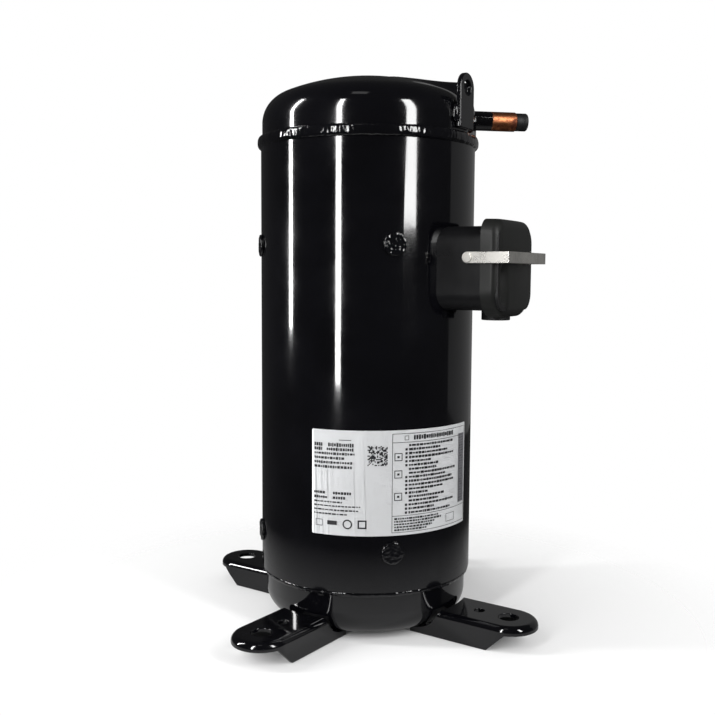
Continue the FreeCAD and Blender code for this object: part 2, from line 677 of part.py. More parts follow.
# ---------------------------------------------------------------------------------------------------------
# Tubes and their stoppers
# ---------------------------------------------------------------------------------------------------------

def stub(name, radius, angle, start, seat, end, height):
    """A tube with a slimmer spigot, from `start` to the wall that it passes through at `seat`."""
    spigot = radial_cylinder(name + "_spigot", radius - spigot_step, angle, start, seat + slip_gap, 0, height)
    body = radial_cylinder(name + "_body", radius, angle, seat + slip_gap, end, 0, height)
    bore = radial_cylinder(name + "_bore", radius - tube_wall, angle, start - 1, end + 1, 0, height)
    return cut(name, fuse(name + "_outside", spigot, body), bore)


def stopper(name, radius, angle, tube_end, height):
    """A rubber plug: a stem in the open end of a tube and a head against it."""
    head = radial_cylinder(name + "_head", radius - stopper_step, angle, tube_end + slip_gap,
                           tube_end + slip_gap + stopper_head, 0, height)
    stem = radial_cylinder(name + "_stem", radius - tube_wall - running_gap, angle, tube_end - stopper_stem,
                           tube_end + slip_gap + 1, 0, height)
    return fuse(name, head, stem)


def build_tubes():
    node(stub("discharge", discharge_tube_radius, 0, cap_radius - 3 * cap_wall, cap_radius, discharge_end,
              discharge_height), "discharge_tube")
    node(stopper("discharge_plug", discharge_tube_radius, 0, discharge_end, discharge_height), "discharge_stopper")
    node(radial_tube("suction_collar", suction_tube_radius + fitting_wall,
                     suction_tube_radius - spigot_step + slip_gap / 2, 90, shell_bore - 2, fitting_end,
                     suction_height), "suction_fitting")
    node(stub("suction", suction_tube_radius, 90, shell_bore - 2, fitting_end, suction_end, suction_height),
         "suction_tube")
    node(stopper("suction_plug", suction_tube_radius, 90, suction_end, suction_height), "suction_stopper")


# ---------------------------------------------------------------------------------------------------------
# Terminal box
# ---------------------------------------------------------------------------------------------------------

def box_shape(name, half_width, half_height, corner, start, end):
    """A block with four rounded corners that points along +X at the height of the terminal box."""
    body = extruded(name, "YZ_Plane", rectangle(half_width, box_height - half_height, box_height + half_height),
                    start, end - start)

    def long_edges(found):
        return found.BoundBox.XLength > float(end - start) - 0.01

    return rounded(body, corner, long_edges)


def across_cylinder(name, radius):
    """A cylinder right across the terminal box, on the line of the strap's pins."""
    made = doc.addObject("Part::Cylinder", name)
    bind(made, "Radius", radius)
    bind(made, "Height", 4 * cover_half_width)
    made.setExpression("Placement", "placement(vector(%s; %s; %s); rotation(vector(1; 0; 0); 90))"
                       % (strap_pivot.text, (2 * cover_half_width).text, strap_height.text))
    return made


def build_fence():
    outside = box_shape("fence_outside", fence_half_width, fence_half_height, fence_corner,
                        shell_bore - fence_corner, fence_front)
    inside = box_shape("fence_inside", fence_half_width - fence_wall, fence_half_height - fence_wall,
                       fence_corner - fence_wall, shell_bore - fence_corner - 1, fence_front + 1)
    shell_space = cylinder("fence_shell", shell_radius, box_height - 2 * fence_half_height,
                           box_height + 2 * fence_half_height)
    outlet = cylinder("fence_outlet", outlet_radius + slip_gap, box_height - 2 * fence_half_height, box_height,
                      outlet_middle)
    made = cut("fence", outside, inside, shell_space, outlet, across_cylinder("fence_pin_hole", strap_pin))
    node(place(made, turn=box_angle), "terminal_fence")


def build_gasket():
    start, end = fence_front + slip_gap, cover_front - cover_wall - slip_gap
    outside = box_shape("gasket_outside", fence_half_width, fence_half_height, fence_corner, start, end)
    inside = box_shape("gasket_inside", fence_half_width - gasket_width, fence_half_height - gasket_width,
                       fence_corner - gasket_width, start - 1, end + 1)
    node(place(cut("gasket", outside, inside), turn=box_angle), "terminal_gasket")


def build_cover():
    outside = box_shape("cover_outside", cover_half_width, cover_half_height, cover_corner, cover_rim, cover_front)

    def front_edges(found):
        return found.BoundBox.XMin > float(cover_front) - 0.01

    rounded(outside, cover_round, front_edges)
    inside = box_shape("cover_inside", cover_half_width - cover_wall, cover_half_height - cover_wall,
                       cover_corner - cover_wall, cover_rim - 1, cover_front - cover_wall)
    notch_half = outlet_radius + 2 * moving_gap
    notch = cylinder("cover_notch", notch_half, box_height - 2 * cover_half_height,
                     box_height - cover_half_height + 2 * cover_wall, outlet_middle)
    made = cut("cover", outside, inside, notch)
    node(place(made, turn=box_angle), "terminal_cover")


def build_outlet():
    wall_bottom = box_height - fence_half_height
    wall_top = wall_bottom + fence_wall
    sleeve = cylinder("outlet_sleeve", outlet_radius, outlet_bottom, wall_top + 2)
    collar = cylinder("outlet_collar", outlet_radius + 1.5, wall_top + slip_gap, wall_top + 2)
    bore = cylinder("outlet_bore", outlet_bore, outlet_bottom - 1, wall_top + 3)
    made = cut("outlet", fuse("outlet_body", sleeve, collar), bore)
    x, y = polar(box_angle, outlet_middle)
    node(place(made, x, y, 0), "cable_outlet")


def build_strap():
    """A steel band around the cover: two legs with round ends and a front bar, on two pins of the fence."""
    outer = cover_half_width + 2 * moving_gap + strap_sheet
    half = strap_band / 2
    low, high = strap_height - half, strap_height + half
    legs = extruded("strap_legs", "XZ_Plane", [(strap_pivot, high, (strap_pivot, strap_height, 1)),
                                               (strap_pivot, low), (strap_front, low), (strap_front, high)],
                    -outer, 2 * outer)
    hollow = block("strap_hollow", 0, strap_pivot - strap_band, strap_front - strap_sheet, outer - strap_sheet,
                   low - 1, high + 1)
    eyes = across_cylinder("strap_eyes", strap_pin + running_gap)
    node(place(cut("strap", legs, hollow, eyes), turn=box_angle), "cover_strap")

    pins = []
    for side in (-1, 1):
        name = "strap_pin_%d" % (side + 1)
        parts = []
        for piece, radius, start, end in (("shank", strap_pin, fence_half_width - fence_wall, outer + moving_gap),
                                          ("head", 1.8 * strap_pin, outer + moving_gap / 2, outer + moving_gap + 1),
                                          ("boss", 1.8 * strap_pin, fence_half_width, outer - strap_sheet - 0.6)):
            made = doc.addObject("Part::Cylinder", "%s_%s" % (name, piece))
            bind(made, "Radius", radius)
            bind(made, "Height", end - start)
            made.setExpression("Placement", "placement(vector(%s; %s; %s); rotation(vector(1; 0; 0); %d))"
                               % (strap_pivot.text, (side * start).text, strap_height.text, -90 * side))
            parts.append(made)
        pins.append(place(fuse(name, *parts), turn=box_angle))
    node(group("strap_pin_group", *pins), "strap_pins")


def terminal_spots():
    return [(terminal_circle * cosine(a), terminal_circle * sine(a)) for a in (90, 210, 330)]


def build_terminal():
    start, end = shell_bore - 4, shell_radius - 1.5
    disc = radial_cylinder("terminal_disc", terminal_radius, box_angle, start, end, 0, box_height)
    holes, beads, pins, sleeves, screws = [], [], [], [], []
    block_start, block_end = shell_radius + 1.2, shell_radius + 12.5
    for i, (across, up) in enumerate(terminal_spots()):
        height = box_height + up
        holes.append(radial_cylinder("bead_hole_%d" % i, bead_radius + slip_gap / 2, box_angle, start - 1, end + 1,
                                     across, height))
        bead = radial_cylinder("bead_%d" % i, bead_radius, box_angle, start - 1, end + 1, across, height)
        pin_space = radial_cylinder("bead_bore_%d" % i, terminal_pin + slip_gap / 2, box_angle, start - 2, end + 2,
                                    across, height)
        beads.append(cut("glass_%d" % i, bead, pin_space))
        pins.append(radial_cylinder("terminal_pin_%d" % i, terminal_pin, box_angle, start - 9, block_end - 2,
                                    across, height))
        sleeves.append(radial_cylinder("block_bore_%d" % i, terminal_pin + slip_gap / 2, box_angle, block_start - 1,
                                       block_end - 1.9, across, height))
        screws.append(radial_cylinder("terminal_screw_%d" % i, 2 * terminal_pin, box_angle, block_end + slip_gap,
                                      block_end + 2.5, across, height))
    node(cut("terminal", disc, *holes), "sealed_terminal")
    node(group("bead_group", *beads), "glass_beads")
    node(group("pin_group", *pins), "terminal_pins")
    plug = block("block_body", box_angle, block_start, block_end, 17, box_height - 14, box_height + 16)
    node(cut("block", plug, *sleeves), "terminal_block")
    node(group("screw_group", *screws), "terminal_screws")


def build_leads():
    """Three leads that rise from the end turns and bend out to the inner ends of the terminal pins."""
    lead = terminal_pin + 0.4
    rise = frame_disc + 5
    start = shell_bore - 4 - 9
    leads = []
    for i, (across, up) in enumerate(terminal_spots()):
        height = box_height + up
        x, y = polar(box_angle, rise, across)
        riser = cylinder("lead_riser_%d" % i, lead, stack_top + turns_height + slip_gap, height, x, y)
        corner = doc.addObject("Part::Sphere", "lead_corner_%d" % i)
        bind(corner, "Radius", lead)
        place(corner, x, y, height)
        reach = radial_cylinder("lead_reach_%d" % i, lead, box_angle, rise, start - slip_gap, across, height)
        leads.append(fuse("lead_%d" % i, riser, corner, reach))
    node(group("lead_group", *leads), "motor_leads")


def build_label():
    film = doc.addObject("Part::Cylinder", "label_outside")
    bind(film, "Radius", shell_radius + label_film)
    bind(film, "Height", label_height)
    bind(film, "Angle", label_sweep)
    place(film, 0, 0, label_bottom, label_start)
    inside = cylinder("label_inside", shell_radius, label_bottom - 1, label_bottom + label_height + 1)
    node(cut("label_film", film, inside), "label")


# ---------------------------------------------------------------------------------------------------------
# Scroll set
# ---------------------------------------------------------------------------------------------------------

def involute_point(angle, offset):
    """A point of the involute whose wall face is shifted by `offset` radians of unwinding."""
    base = float(wrap_pitch) / (2 * math.pi)
    unwound = angle - offset
    return FreeCAD.Vector(base * (math.cos(angle) + unwound * math.sin(angle)),
                          base * (math.sin(angle) - unwound * math.cos(angle)), 0)


def wrap_solid(wall, bottom, height, first, last):
    """A spiral wall between two involutes, closed by straight ends."""
    half = math.pi * wall / float(wrap_pitch)
    steps = int((last - first) / 10)
    angles = [math.radians(first + (last - first) * i / steps) for i in range(steps + 1)]
    faces = []
    for offset in (half, -half):
        curve = Part.BSplineCurve()
        curve.interpolate([involute_point(a, offset) for a in angles])
        faces.append(curve)
    ends = [Part.LineSegment(faces[0].value(faces[0].FirstParameter), faces[1].value(faces[1].FirstParameter)),
            Part.LineSegment(faces[0].value(faces[0].LastParameter), faces[1].value(faces[1].LastParameter))]
    wire = Part.Wire(Part.__sortEdges__([shape.toShape() for shape in faces + ends]))
    face = Part.Face(wire)
    face.translate(FreeCAD.Vector(0, 0, bottom))
    return face.extrude(FreeCAD.Vector(0, 0, height))


def wrap(name, wall, bottom, height, first, last):
    made = doc.addObject("Part::Feature", name)
    made.Shape = wrap_solid(float(wall), float(bottom), float(height), float(first), float(last))
    return made


def build_orbiting_scroll():
    tip = fixed_face - moving_gap
    plate = cylinder("orbit_plate", orbit_plate_radius, orbit_plate_bottom, wrap_floor)
    hub_bottom = orbit_plate_bottom - orbit_hub_depth
    hub = cylinder("orbit_hub", orbit_hub_radius, hub_bottom, orbit_plate_bottom + 1)
    spiral = wrap("orbit_wrap", wrap_wall, wrap_floor - 1, tip - wrap_floor + 1, wrap_first, wrap_last)
    groove = wrap("orbit_groove", seal_width + 2 * slip_gap, tip - seal_height, 5, wrap_first + 40, wrap_last - 20)
    bore = cylinder("orbit_bore", crank_pin + 2 * bush_wall + running_gap, hub_bottom - 1,
                    orbit_plate_bottom - 1)
    slots = [block("orbit_slot_%d" % i, a, ring_inside - orbit_radius, orbit_plate_radius + 1,
                   key_width / 2 + slip_gap, orbit_plate_bottom - 1, orbit_plate_bottom + key_height + moving_gap)
             for i, a in enumerate((90, 270))]
    made = cut("orbiting", fuse("orbit_body", plate, hub, spiral), groove, bore, *slots)
    node(place(made, orbit_radius), "orbiting_scroll")
    seal = wrap("orbit_seal", seal_width, tip - seal_height + slip_gap, seal_height,
                wrap_first + 42, wrap_last - 22)
    node(place(seal, orbit_radius), "orbiting_tip_seal")


def build_fixed_scroll():
    tip = wrap_floor + moving_gap
    plate = cylinder("fixed_plate", skirt_outside, fixed_face, fixed_top)
    skirt = tube("fixed_skirt", skirt_outside, skirt_inside, tip, fixed_face + 1)
    ears = [block("fixed_ear_%d" % i, a, skirt_inside, inner_fit, ear_width / 2, fixed_face, fixed_face + ear_height)
            for i, a in enumerate(quarter_angles(plug_angle))]
    ear_limit = cylinder("ear_limit", inner_fit - slip_gap, fixed_face - 1, fixed_top)
    hub = tube("valve_hub", valve_hub_outside, valve_hub_inside, fixed_top - 1, fixed_top + valve_hub_height)
    spiral = wrap("fixed_wrap", wrap_wall, tip, fixed_face - tip + 1, wrap_first, wrap_last)
    groove = wrap("fixed_groove", seal_width + 2 * slip_gap, tip - 5, seal_height + 5, wrap_first + 40, wrap_last - 20)
    seal = wrap("fixed_seal", seal_width, tip - slip_gap, seal_height, wrap_first + 42, wrap_last - 22)
    for shape in (spiral, groove, seal):
        place(shape, turn=180)
    port = cylinder("discharge_port", port_radius, fixed_face - 1, fixed_top + 1)
    window = block("suction_window", 90, skirt_inside - 5, skirt_outside + 1, 20, tip - 1, fixed_face - 4)
    holes = []
    for i, angle in enumerate(quarter_angles(plug_angle)):
        x, y = polar(angle, bolt_circle)
        holes.append(cylinder("ear_hole_%d" % i, bolt_radius + slip_gap, fixed_face - 1, fixed_top, x, y))
    ring = fuse("fixed_body", plate, skirt, hub, common("fixed_ears", fuse("ear_set", *ears), ear_limit))
    hollow = cut("fixed_hollow", ring, groove, port, window, *holes)
    node(fuse("fixed", hollow, cut("fixed_spiral", spiral, doc.copyObject(groove))), "fixed_scroll")
    node(seal, "fixed_tip_seal")


def build_frame_bolts():
    head_bottom = fixed_face + ear_height
    bolts = []
    for i, angle in enumerate(quarter_angles(plug_angle)):
        x, y = polar(angle, bolt_circle)
        shank = cylinder("bolt_shank_%d" % i, bolt_radius, frame_shelf + 5, head_bottom + 1, x, y)
        head = cylinder("bolt_head_%d" % i, bolt_head, head_bottom, head_bottom + 1.6 * bolt_radius, x, y)
        bolts.append(fuse("frame_bolt_%d" % i, shank, head))
    node(group("bolt_group", *bolts), "frame_bolts")


def build_separator():
    seal_outside = valve_hub_outside + bush_wall
    node(tube("separator", cap_radius, seal_outside, shell_top, cap_start), "separator_plate")
    node(tube("hub_seal", seal_outside - slip_gap, valve_hub_outside + slip_gap, shell_top - slip_gap,
              cap_start + slip_gap), "separator_seal")


def build_valve():
    seat = fixed_top + slip_gap
    node(cylinder("valve", valve_radius, seat, seat + valve_sheet), "valve_disc")
    stop = seat + valve_sheet + valve_lift + slip_gap
    cage = cylinder("cage_body", valve_hub_inside - slip_gap, fixed_top + slip_gap / 2, stop + valve_sheet)
    pocket = cylinder("cage_pocket", valve_radius + 2 * slip_gap, fixed_top - 1, stop)
    vents = []
    for i, angle in enumerate((45, 135, 225, 315)):
        x, y = polar(angle, valve_radius)
        vents.append(cylinder("cage_vent_%d" % i, valve_radius / 4, stop - 1, stop + 2 * valve_sheet, x, y))
    node(cut("cage", cage, pocket, *vents), "valve_cage")


def build_oldham_ring():
    ring = tube("oldham", ring_outside, ring_inside, ring_bottom, ring_top)
    half = key_width / 2
    keys = [block("upper_key_%d" % i, a, ring_inside, ring_outside, half, ring_top - 1,
                  orbit_plate_bottom + key_height) for i, a in enumerate((90, 270))]
    keys += [block("lower_key_%d" % i, a, ring_inside, ring_outside, half, ring_bottom - key_height,
                   ring_bottom + 1) for i, a in enumerate((0, 180))]
    node(place(fuse("oldham_body", ring, *keys), orbit_radius), "oldham_ring")


# ---------------------------------------------------------------------------------------------------------
# Crankshaft, bearings and frames
# ---------------------------------------------------------------------------------------------------------

def build_main_frame():
    bush = upper_journal + bush_wall
    top = ring_bottom - moving_gap
    body = turned("frame_body", [
        (bush + slip_gap / 2, frame_hub_bottom), (bush + 7, frame_hub_bottom), (frame_pocket, frame_bottom),
        (frame_disc, frame_bottom), (frame_disc, top), (frame_thrust, top),
        (frame_thrust, ring_top), (frame_pocket, ring_top),
        (frame_pocket, frame_floor), (bush + slip_gap / 2, frame_floor)])
    lobes = [block("frame_lobe_%d" % i, a, frame_thrust, shell_bore, frame_lobe / 2, frame_bottom, frame_shelf)
             for i, a in enumerate(quarter_angles(plug_angle))]
    posts = [block("frame_post_%d" % i, a, post_start, shell_bore, ear_width / 2, frame_shelf - 1, fixed_face)
             for i, a in enumerate(quarter_angles(plug_angle))]
    limit = cylinder("frame_limit", inner_fit, frame_bottom - 1, fixed_face + 1)
    slot_half = key_width / 2 + orbit_radius + moving_gap
    slots = [block("frame_slot_%d" % i, a, frame_thrust + moving_gap, ring_outside + orbit_radius + moving_gap,
                   slot_half, ring_bottom - key_height - moving_gap, ring_top) for i, a in enumerate((0, 180))]
    holes = []
    for i, angle in enumerate(quarter_angles(plug_angle)):
        x, y = polar(angle, bolt_circle)
        holes.append(cylinder("post_hole_%d" % i, bolt_radius + slip_gap / 2, frame_shelf + 4, fixed_face + 1, x, y))
    arms = common("frame_arms", fuse("frame_arm_set", *(lobes + posts)), limit)
    bore = cylinder("frame_bore", frame_pocket, frame_floor, fixed_face)
    made = cut("frame", fuse("frame_solid", body, cut("frame_arms_cut", arms, bore)), *(slots + holes))
    node(made, "main_frame")


def build_lower_frame():
    bush = lower_journal + bush_wall
    rim = tube("spider_rim_ring", inner_fit, inner_fit - spider_rim, spider_bottom, spider_top)
    hub = cylinder("spider_hub_body", spider_hub, spider_bottom - 3, spider_top)
    arms = [block("spider_arm_%d" % i, a, 0, inner_fit - spider_rim / 2, spider_arm / 2, spider_bottom + 2,
                  spider_top - 4) for i, a in enumerate(quarter_angles(plug_angle))]
    bore = cylinder("spider_bore", bush + slip_gap / 2, spider_bottom - 4, spider_top + 1)
    node(cut("spider", fuse("spider_body", rim, hub, *arms), bore), "lower_bearing_frame")


def build_bearings():
    node(tube("upper_bush", upper_journal + bush_wall, upper_journal + running_gap, frame_hub_bottom, frame_floor),
         "main_bearing")
    node(tube("lower_bush", lower_journal + bush_wall, lower_journal + running_gap, spider_bottom - 3, spider_top),
         "lower_bearing")
    node(tube("washer", lower_journal + 2 * bush_wall, lower_journal + running_gap, spider_top + slip_gap / 2,
              spider_top + slip_gap / 2 + washer_height), "thrust_washer")
    bush_bottom = pin_bottom + 2 * slip_gap
    bush_top = pin_bottom + pin_height
    node(place(tube("pin_bush", crank_pin + bush_wall, crank_pin + slip_gap / 2, bush_bottom, bush_top),
               orbit_radius), "drive_bush")
    node(place(tube("hub_bush", crank_pin + 2 * bush_wall, crank_pin + bush_wall + running_gap,
                    orbit_plate_bottom - orbit_hub_depth, bush_top), orbit_radius), "hub_bearing")


def build_crankshaft():
    body_start = spider_top + slip_gap + washer_height + slip_gap
    body = turned("shaft_turned", [
        (0, shaft_bottom), (lower_journal, shaft_bottom), (lower_journal, body_start), (shaft_body, body_start),
        (shaft_body, journal_start), (upper_journal, journal_start), (upper_journal, pin_bottom), (0, pin_bottom)])
    pin = cylinder("shaft_pin", crank_pin, pin_bottom - 1, pin_bottom + pin_height, orbit_radius)
    oil = cylinder("shaft_oil_bore", oil_bore, shaft_bottom - 1, pin_bottom + pin_height + 1, orbit_radius)
    seat = cylinder("pickup_seat_bore", pickup_radius + slip_gap / 4, shaft_bottom - 1, shaft_bottom + pickup_seat)
    node(cut("crank", fuse("crank_solid", body, pin), oil, seat), "crankshaft")
    node(tube("pickup", pickup_radius, pickup_radius - 2, pickup_bottom, shaft_bottom + pickup_seat - slip_gap),
         "oil_pickup_tube")


# ---------------------------------------------------------------------------------------------------------
# Motor
# ---------------------------------------------------------------------------------------------------------

def patterned(body, feature, count):
    """Repeat a body's last feature around Z."""
    pattern = body.newObject("PartDesign::PolarPattern", body.Name + "_pattern")
    pattern.Originals = [feature]
    pattern.Axis = ([axis for axis in body.Origin.OriginFeatures if axis.Role == "Z_Axis"][0], [""])
    pattern.Angle = 360
    bind(pattern, "Occurrences", count)
    body.Tip = pattern


def build_stator():
    body = turned("stator", [(stator_bore, stack_bottom), (inner_fit, stack_bottom), (inner_fit, stack_top),
                             (stator_bore, stack_top)])
    outline = sketch_on(body, "XY_Plane", [(stator_bore - 1, -slot_width / 2), (slot_end, -slot_width / 2),
                                           (slot_end, slot_width / 2), (stator_bore - 1, slot_width / 2)], "slot_outline")
    bind(outline, "AttachmentOffset.Base.z", stack_bottom - 1)
    slot = body.newObject("PartDesign::Pocket", "slot")
    slot.Profile = outline
    bind(slot, "Length", stack_height + 2)
    slot.Reversed = True
    body.Tip = slot
    patterned(body, slot, slot_count)
    node(body, "stator_core")


def build_windings():
    lower_top = stack_bottom - 2 * slip_gap
    upper_bottom = stack_top + 2 * slip_gap
    body = turned("windings", [(turns_inside, lower_top - turns_depth), (turns_outside, lower_top - turns_depth),
                               (turns_outside, lower_top), (turns_inside, lower_top)])
    bar = slot_width / 2 - slip_gap
    outline = sketch_on(body, "XY_Plane", [(turns_inside + 1, -bar), (slot_end - slip_gap, -bar), (slot_end - slip_gap, bar),
                                           (turns_inside + 1, bar)], "bar_outline")
    bind(outline, "AttachmentOffset.Base.z", lower_top - 1)
    coil = body.newObject("PartDesign::Pad", "coil_bar")
    coil.Profile = outline
    bind(coil, "Length", upper_bottom - lower_top + 2)
    body.Tip = coil
    patterned(body, coil, slot_count)
    crown = tube("upper_turns", turns_outside, turns_inside, upper_bottom, stack_top + turns_height)
    node(fuse("winding_set", body, crown), "stator_windings")

    ahead = block("protector", 150, turns_inside + 2, turns_outside - 2, 14, stack_top + turns_height + slip_gap,
                  stack_top + turns_height + 12)
    node(ahead, "overload_protector")


def half_ring(name, outer, inner, bottom, top, side):
    """Half of a ring, on the +X side for side = 1 and on the -X side for side = -1."""
    ring = tube(name + "_ring", outer, inner, bottom, top)
    start, end = (0, outer + 1) if side > 0 else (-outer - 1, 0)
    return common(name, ring, block(name + "_half", 0, start, end, outer + 1, bottom, top))


def build_rotor():
    node(tube("rotor", rotor_radius, shaft_body + slip_gap / 4, stack_bottom, stack_top), "rotor_core")
    ring_outside_radius = rotor_radius - 1
    rings = [tube("upper_end_ring", ring_outside_radius, end_ring_inside, stack_top + slip_gap / 4,
                  stack_top + end_ring_height),
             tube("lower_end_ring", ring_outside_radius, end_ring_inside, stack_bottom - end_ring_height,
                  stack_bottom - slip_gap / 4)]
    node(group("end_ring_group", *rings), "rotor_end_rings")
    weight_bottom = stack_top + end_ring_height + slip_gap / 4
    node(half_ring("upper_weight", ring_outside_radius - 1, shaft_body + moving_gap, weight_bottom,
                   weight_bottom + weight_height, -1), "upper_balance_weight")
    weight_top = stack_bottom - end_ring_height - slip_gap / 4
    node(half_ring("lower_weight", ring_outside_radius - 1, shaft_body + moving_gap, weight_top - weight_depth,
                   weight_top, 1), "lower_balance_weight")


def build_magnet():
    seat = base_bottom + cap_wall + 2
    x, y = polar(45, 40)
    node(cylinder("magnet", 10, seat, seat + 5, x, y), "sump_magnet")


build_shell()
build_upper_cap()
build_lower_cap()
build_welds()
build_feet()
build_lug()
build_tubes()
build_fence()
build_gasket()
build_cover()
build_outlet()
build_strap()
build_terminal()
build_leads()
build_label()
build_orbiting_scroll()
build_fixed_scroll()
build_frame_bolts()
build_separator()
build_valve()
build_oldham_ring()
build_main_frame()
build_lower_frame()
build_bearings()
build_crankshaft()
build_stator()
build_windings()
build_rotor()
build_magnet()
doc.recompute()

broken = [thing.Name for thing in doc.Objects if {"Invalid", "Error"} & set(thing.State)]
if broken:
    raise RuntimeError("these objects failed: %s" % ", ".join(broken))
for thing in nodes:
    if thing.Shape.isNull() or not thing.Shape.isValid():
        raise RuntimeError("%s has no valid shape" % thing.Label)
    thing.Shape.exportStep("parts/%s.step" % thing.Label)
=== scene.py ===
import json
import math
import random

import bmesh
import bpy
from bpy.props import FloatProperty, FloatVectorProperty, IntProperty, PointerProperty
from mathutils import Matrix, Vector, noise


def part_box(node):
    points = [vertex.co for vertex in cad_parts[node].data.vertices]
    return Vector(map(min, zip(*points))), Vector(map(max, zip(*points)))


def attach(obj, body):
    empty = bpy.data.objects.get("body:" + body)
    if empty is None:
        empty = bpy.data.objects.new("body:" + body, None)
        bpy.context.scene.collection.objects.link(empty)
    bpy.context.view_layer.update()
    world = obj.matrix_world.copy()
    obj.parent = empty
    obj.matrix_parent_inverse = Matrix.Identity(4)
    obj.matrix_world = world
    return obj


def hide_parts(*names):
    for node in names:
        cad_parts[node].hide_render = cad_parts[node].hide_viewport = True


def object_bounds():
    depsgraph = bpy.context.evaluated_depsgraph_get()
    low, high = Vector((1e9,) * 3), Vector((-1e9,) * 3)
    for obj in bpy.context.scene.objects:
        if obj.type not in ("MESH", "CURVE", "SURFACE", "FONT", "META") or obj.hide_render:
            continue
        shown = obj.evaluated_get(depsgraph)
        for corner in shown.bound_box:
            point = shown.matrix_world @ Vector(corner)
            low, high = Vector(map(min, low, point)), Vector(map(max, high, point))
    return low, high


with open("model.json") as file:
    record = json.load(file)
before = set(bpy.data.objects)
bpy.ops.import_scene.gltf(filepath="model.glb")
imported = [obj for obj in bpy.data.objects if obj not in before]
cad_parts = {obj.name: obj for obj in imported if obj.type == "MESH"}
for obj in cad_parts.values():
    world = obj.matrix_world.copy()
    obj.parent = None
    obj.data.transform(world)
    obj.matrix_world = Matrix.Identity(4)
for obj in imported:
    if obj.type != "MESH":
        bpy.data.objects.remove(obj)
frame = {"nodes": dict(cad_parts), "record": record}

bl_info = {
    "name": "Scroll Compressor",
    "version": (1, 0, 0),
    "blender": (4, 5, 0),
    "location": "3D View > Sidebar > Compressor",
    "description": "Builds the enamelled shell, welds, stubs, terminal box and label of a scroll compressor",
    "category": "Object",
}

CAD_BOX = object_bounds()
AXIS = Vector((0, 0, 1))


def span(node, axis):
    """Lowest and highest coordinate of a CAD node along one axis."""
    low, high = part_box(node)
    return low[axis], high[axis]


SHELL_RADIUS = span("main_shell", 0)[1]
SHELL_TOP = span("main_shell", 2)[1]
FLOOR = CAD_BOX[0][2]
TUBE_STEPS = 96
STOPPER_STEPS = 72


# Sizes and colours

def length(name, description, default):
    return FloatProperty(name=name, description=description, default=default, min=0.0,
                         unit="LENGTH", subtype="DISTANCE", precision=5)


def turn(name, description, degrees):
    return FloatProperty(name=name, description=description, default=math.radians(degrees), unit="ROTATION",
                         subtype="ANGLE")


def share(name, description, default):
    return FloatProperty(name=name, description=description, default=default, min=0.0, max=1.0, subtype="FACTOR")


def brightness(name, description, default):
    return FloatProperty(name=name, description=description, default=default, min=0.0)


def count(name, description, default):
    return IntProperty(name=name, description=description, default=default, min=3)


def colour(name, description, default):
    return FloatVectorProperty(name=name, description=description, default=default, size=3, min=0.0, max=1.0,
                               subtype="COLOR")


class EnamelLook(bpy.types.PropertyGroup):
    tint: colour("Enamel", "Colour of the gloss enamel on the shell", (0.0011, 0.0011, 0.0016))
    box_tint: colour("Box enamel", "Colour of the satin enamel on the terminal box", (0.0032, 0.0032, 0.0036))
    gloss: share("Gloss", "Roughness of the enamel where it is smoothest", 0.05)
    scuff: share("Scuffing", "Roughness of the enamel where it is dull", 0.13)
    peel: length("Peel", "Height of the orange peel", 0.000012)


class CapSizes(bpy.types.PropertyGroup):
    radius: length("Radius", "Outside of the cap", span("upper_cap", 0)[1])
    crown: length("Crown", "Radius of the crown", 0.186)
    knuckle: length("Knuckle", "Radius of the knuckle", 0.0245)
    wall: length("Wall", "Sheet of the cap", 0.0035)
    shoulder_half: length("Shoulder half width", "Half width of the shoulder at the discharge tube", 0.021)
    shoulder_top: length("Shoulder top", "Height of the shoulder's ridge", 0.4236)
    shoulder_reach: length("Shoulder reach", "Face of the shoulder, from the axis", 0.0842)
    shoulder_start: length("Shoulder start", "Inner end of the shoulder, from the axis", 0.012)
    shoulder_blend: length("Blend", "How softly the shoulder runs into the dome", 0.011)
    columns: count("Columns", "Steps around the cap", 360)


class WeldSizes(bpy.types.PropertyGroup):
    seam_radius: length("Seam bead", "Radius of the bead at the upper seam", 0.0052)
    seam_stand: length("Seam stand", "How far that bead stands out of the shell", 0.0027)
    ripple: length("Ripple", "Height of the ripples", 0.00005)
    lump: length("Lump", "Height of the uneven lumps", 0.0003)
    pitch: length("Pitch", "Distance from one ripple to the next", 0.0034)
    grain: length("Grain", "Mesh size of the short beads", 0.0007)
    steps: count("Steps", "Steps around a seam", 760)


class SheetSizes(bpy.types.PropertyGroup):
    foot_edge: length("Foot edge", "Rounding of the feet's edges", 0.0007)
    lug_edge: length("Lug edge", "Rounding of the lug's edges", 0.0009)
    fence_edge: length("Fence edge", "Rounding of the fence's edges", 0.0004)
    strap_edge: length("Strap edge", "Rounding of the strap's edges", 0.0003)
    outlet_edge: length("Outlet edge", "Rounding of the cable outlet's edges", 0.0005)


class TubeSizes(bpy.types.PropertyGroup):
    discharge_radius: length("Discharge tube", "Outside of the discharge tube", 0.00794)
    suction_radius: length("Suction tube", "Outside of the suction tube", 0.01111)
    wall: length("Wall", "Wall of both tubes", 0.0011)
    spigot_step: length("Spigot step", "How much slimmer a tube is inside the shell", 0.0003)
    painted: length("Painted length", "Bare copper starts this far from the axis", 0.1045)
    copper: colour("Copper", "Bare copper", (0.46, 0.17, 0.075))
    patina: colour("Patina", "Tarnished copper", (0.13, 0.042, 0.026))


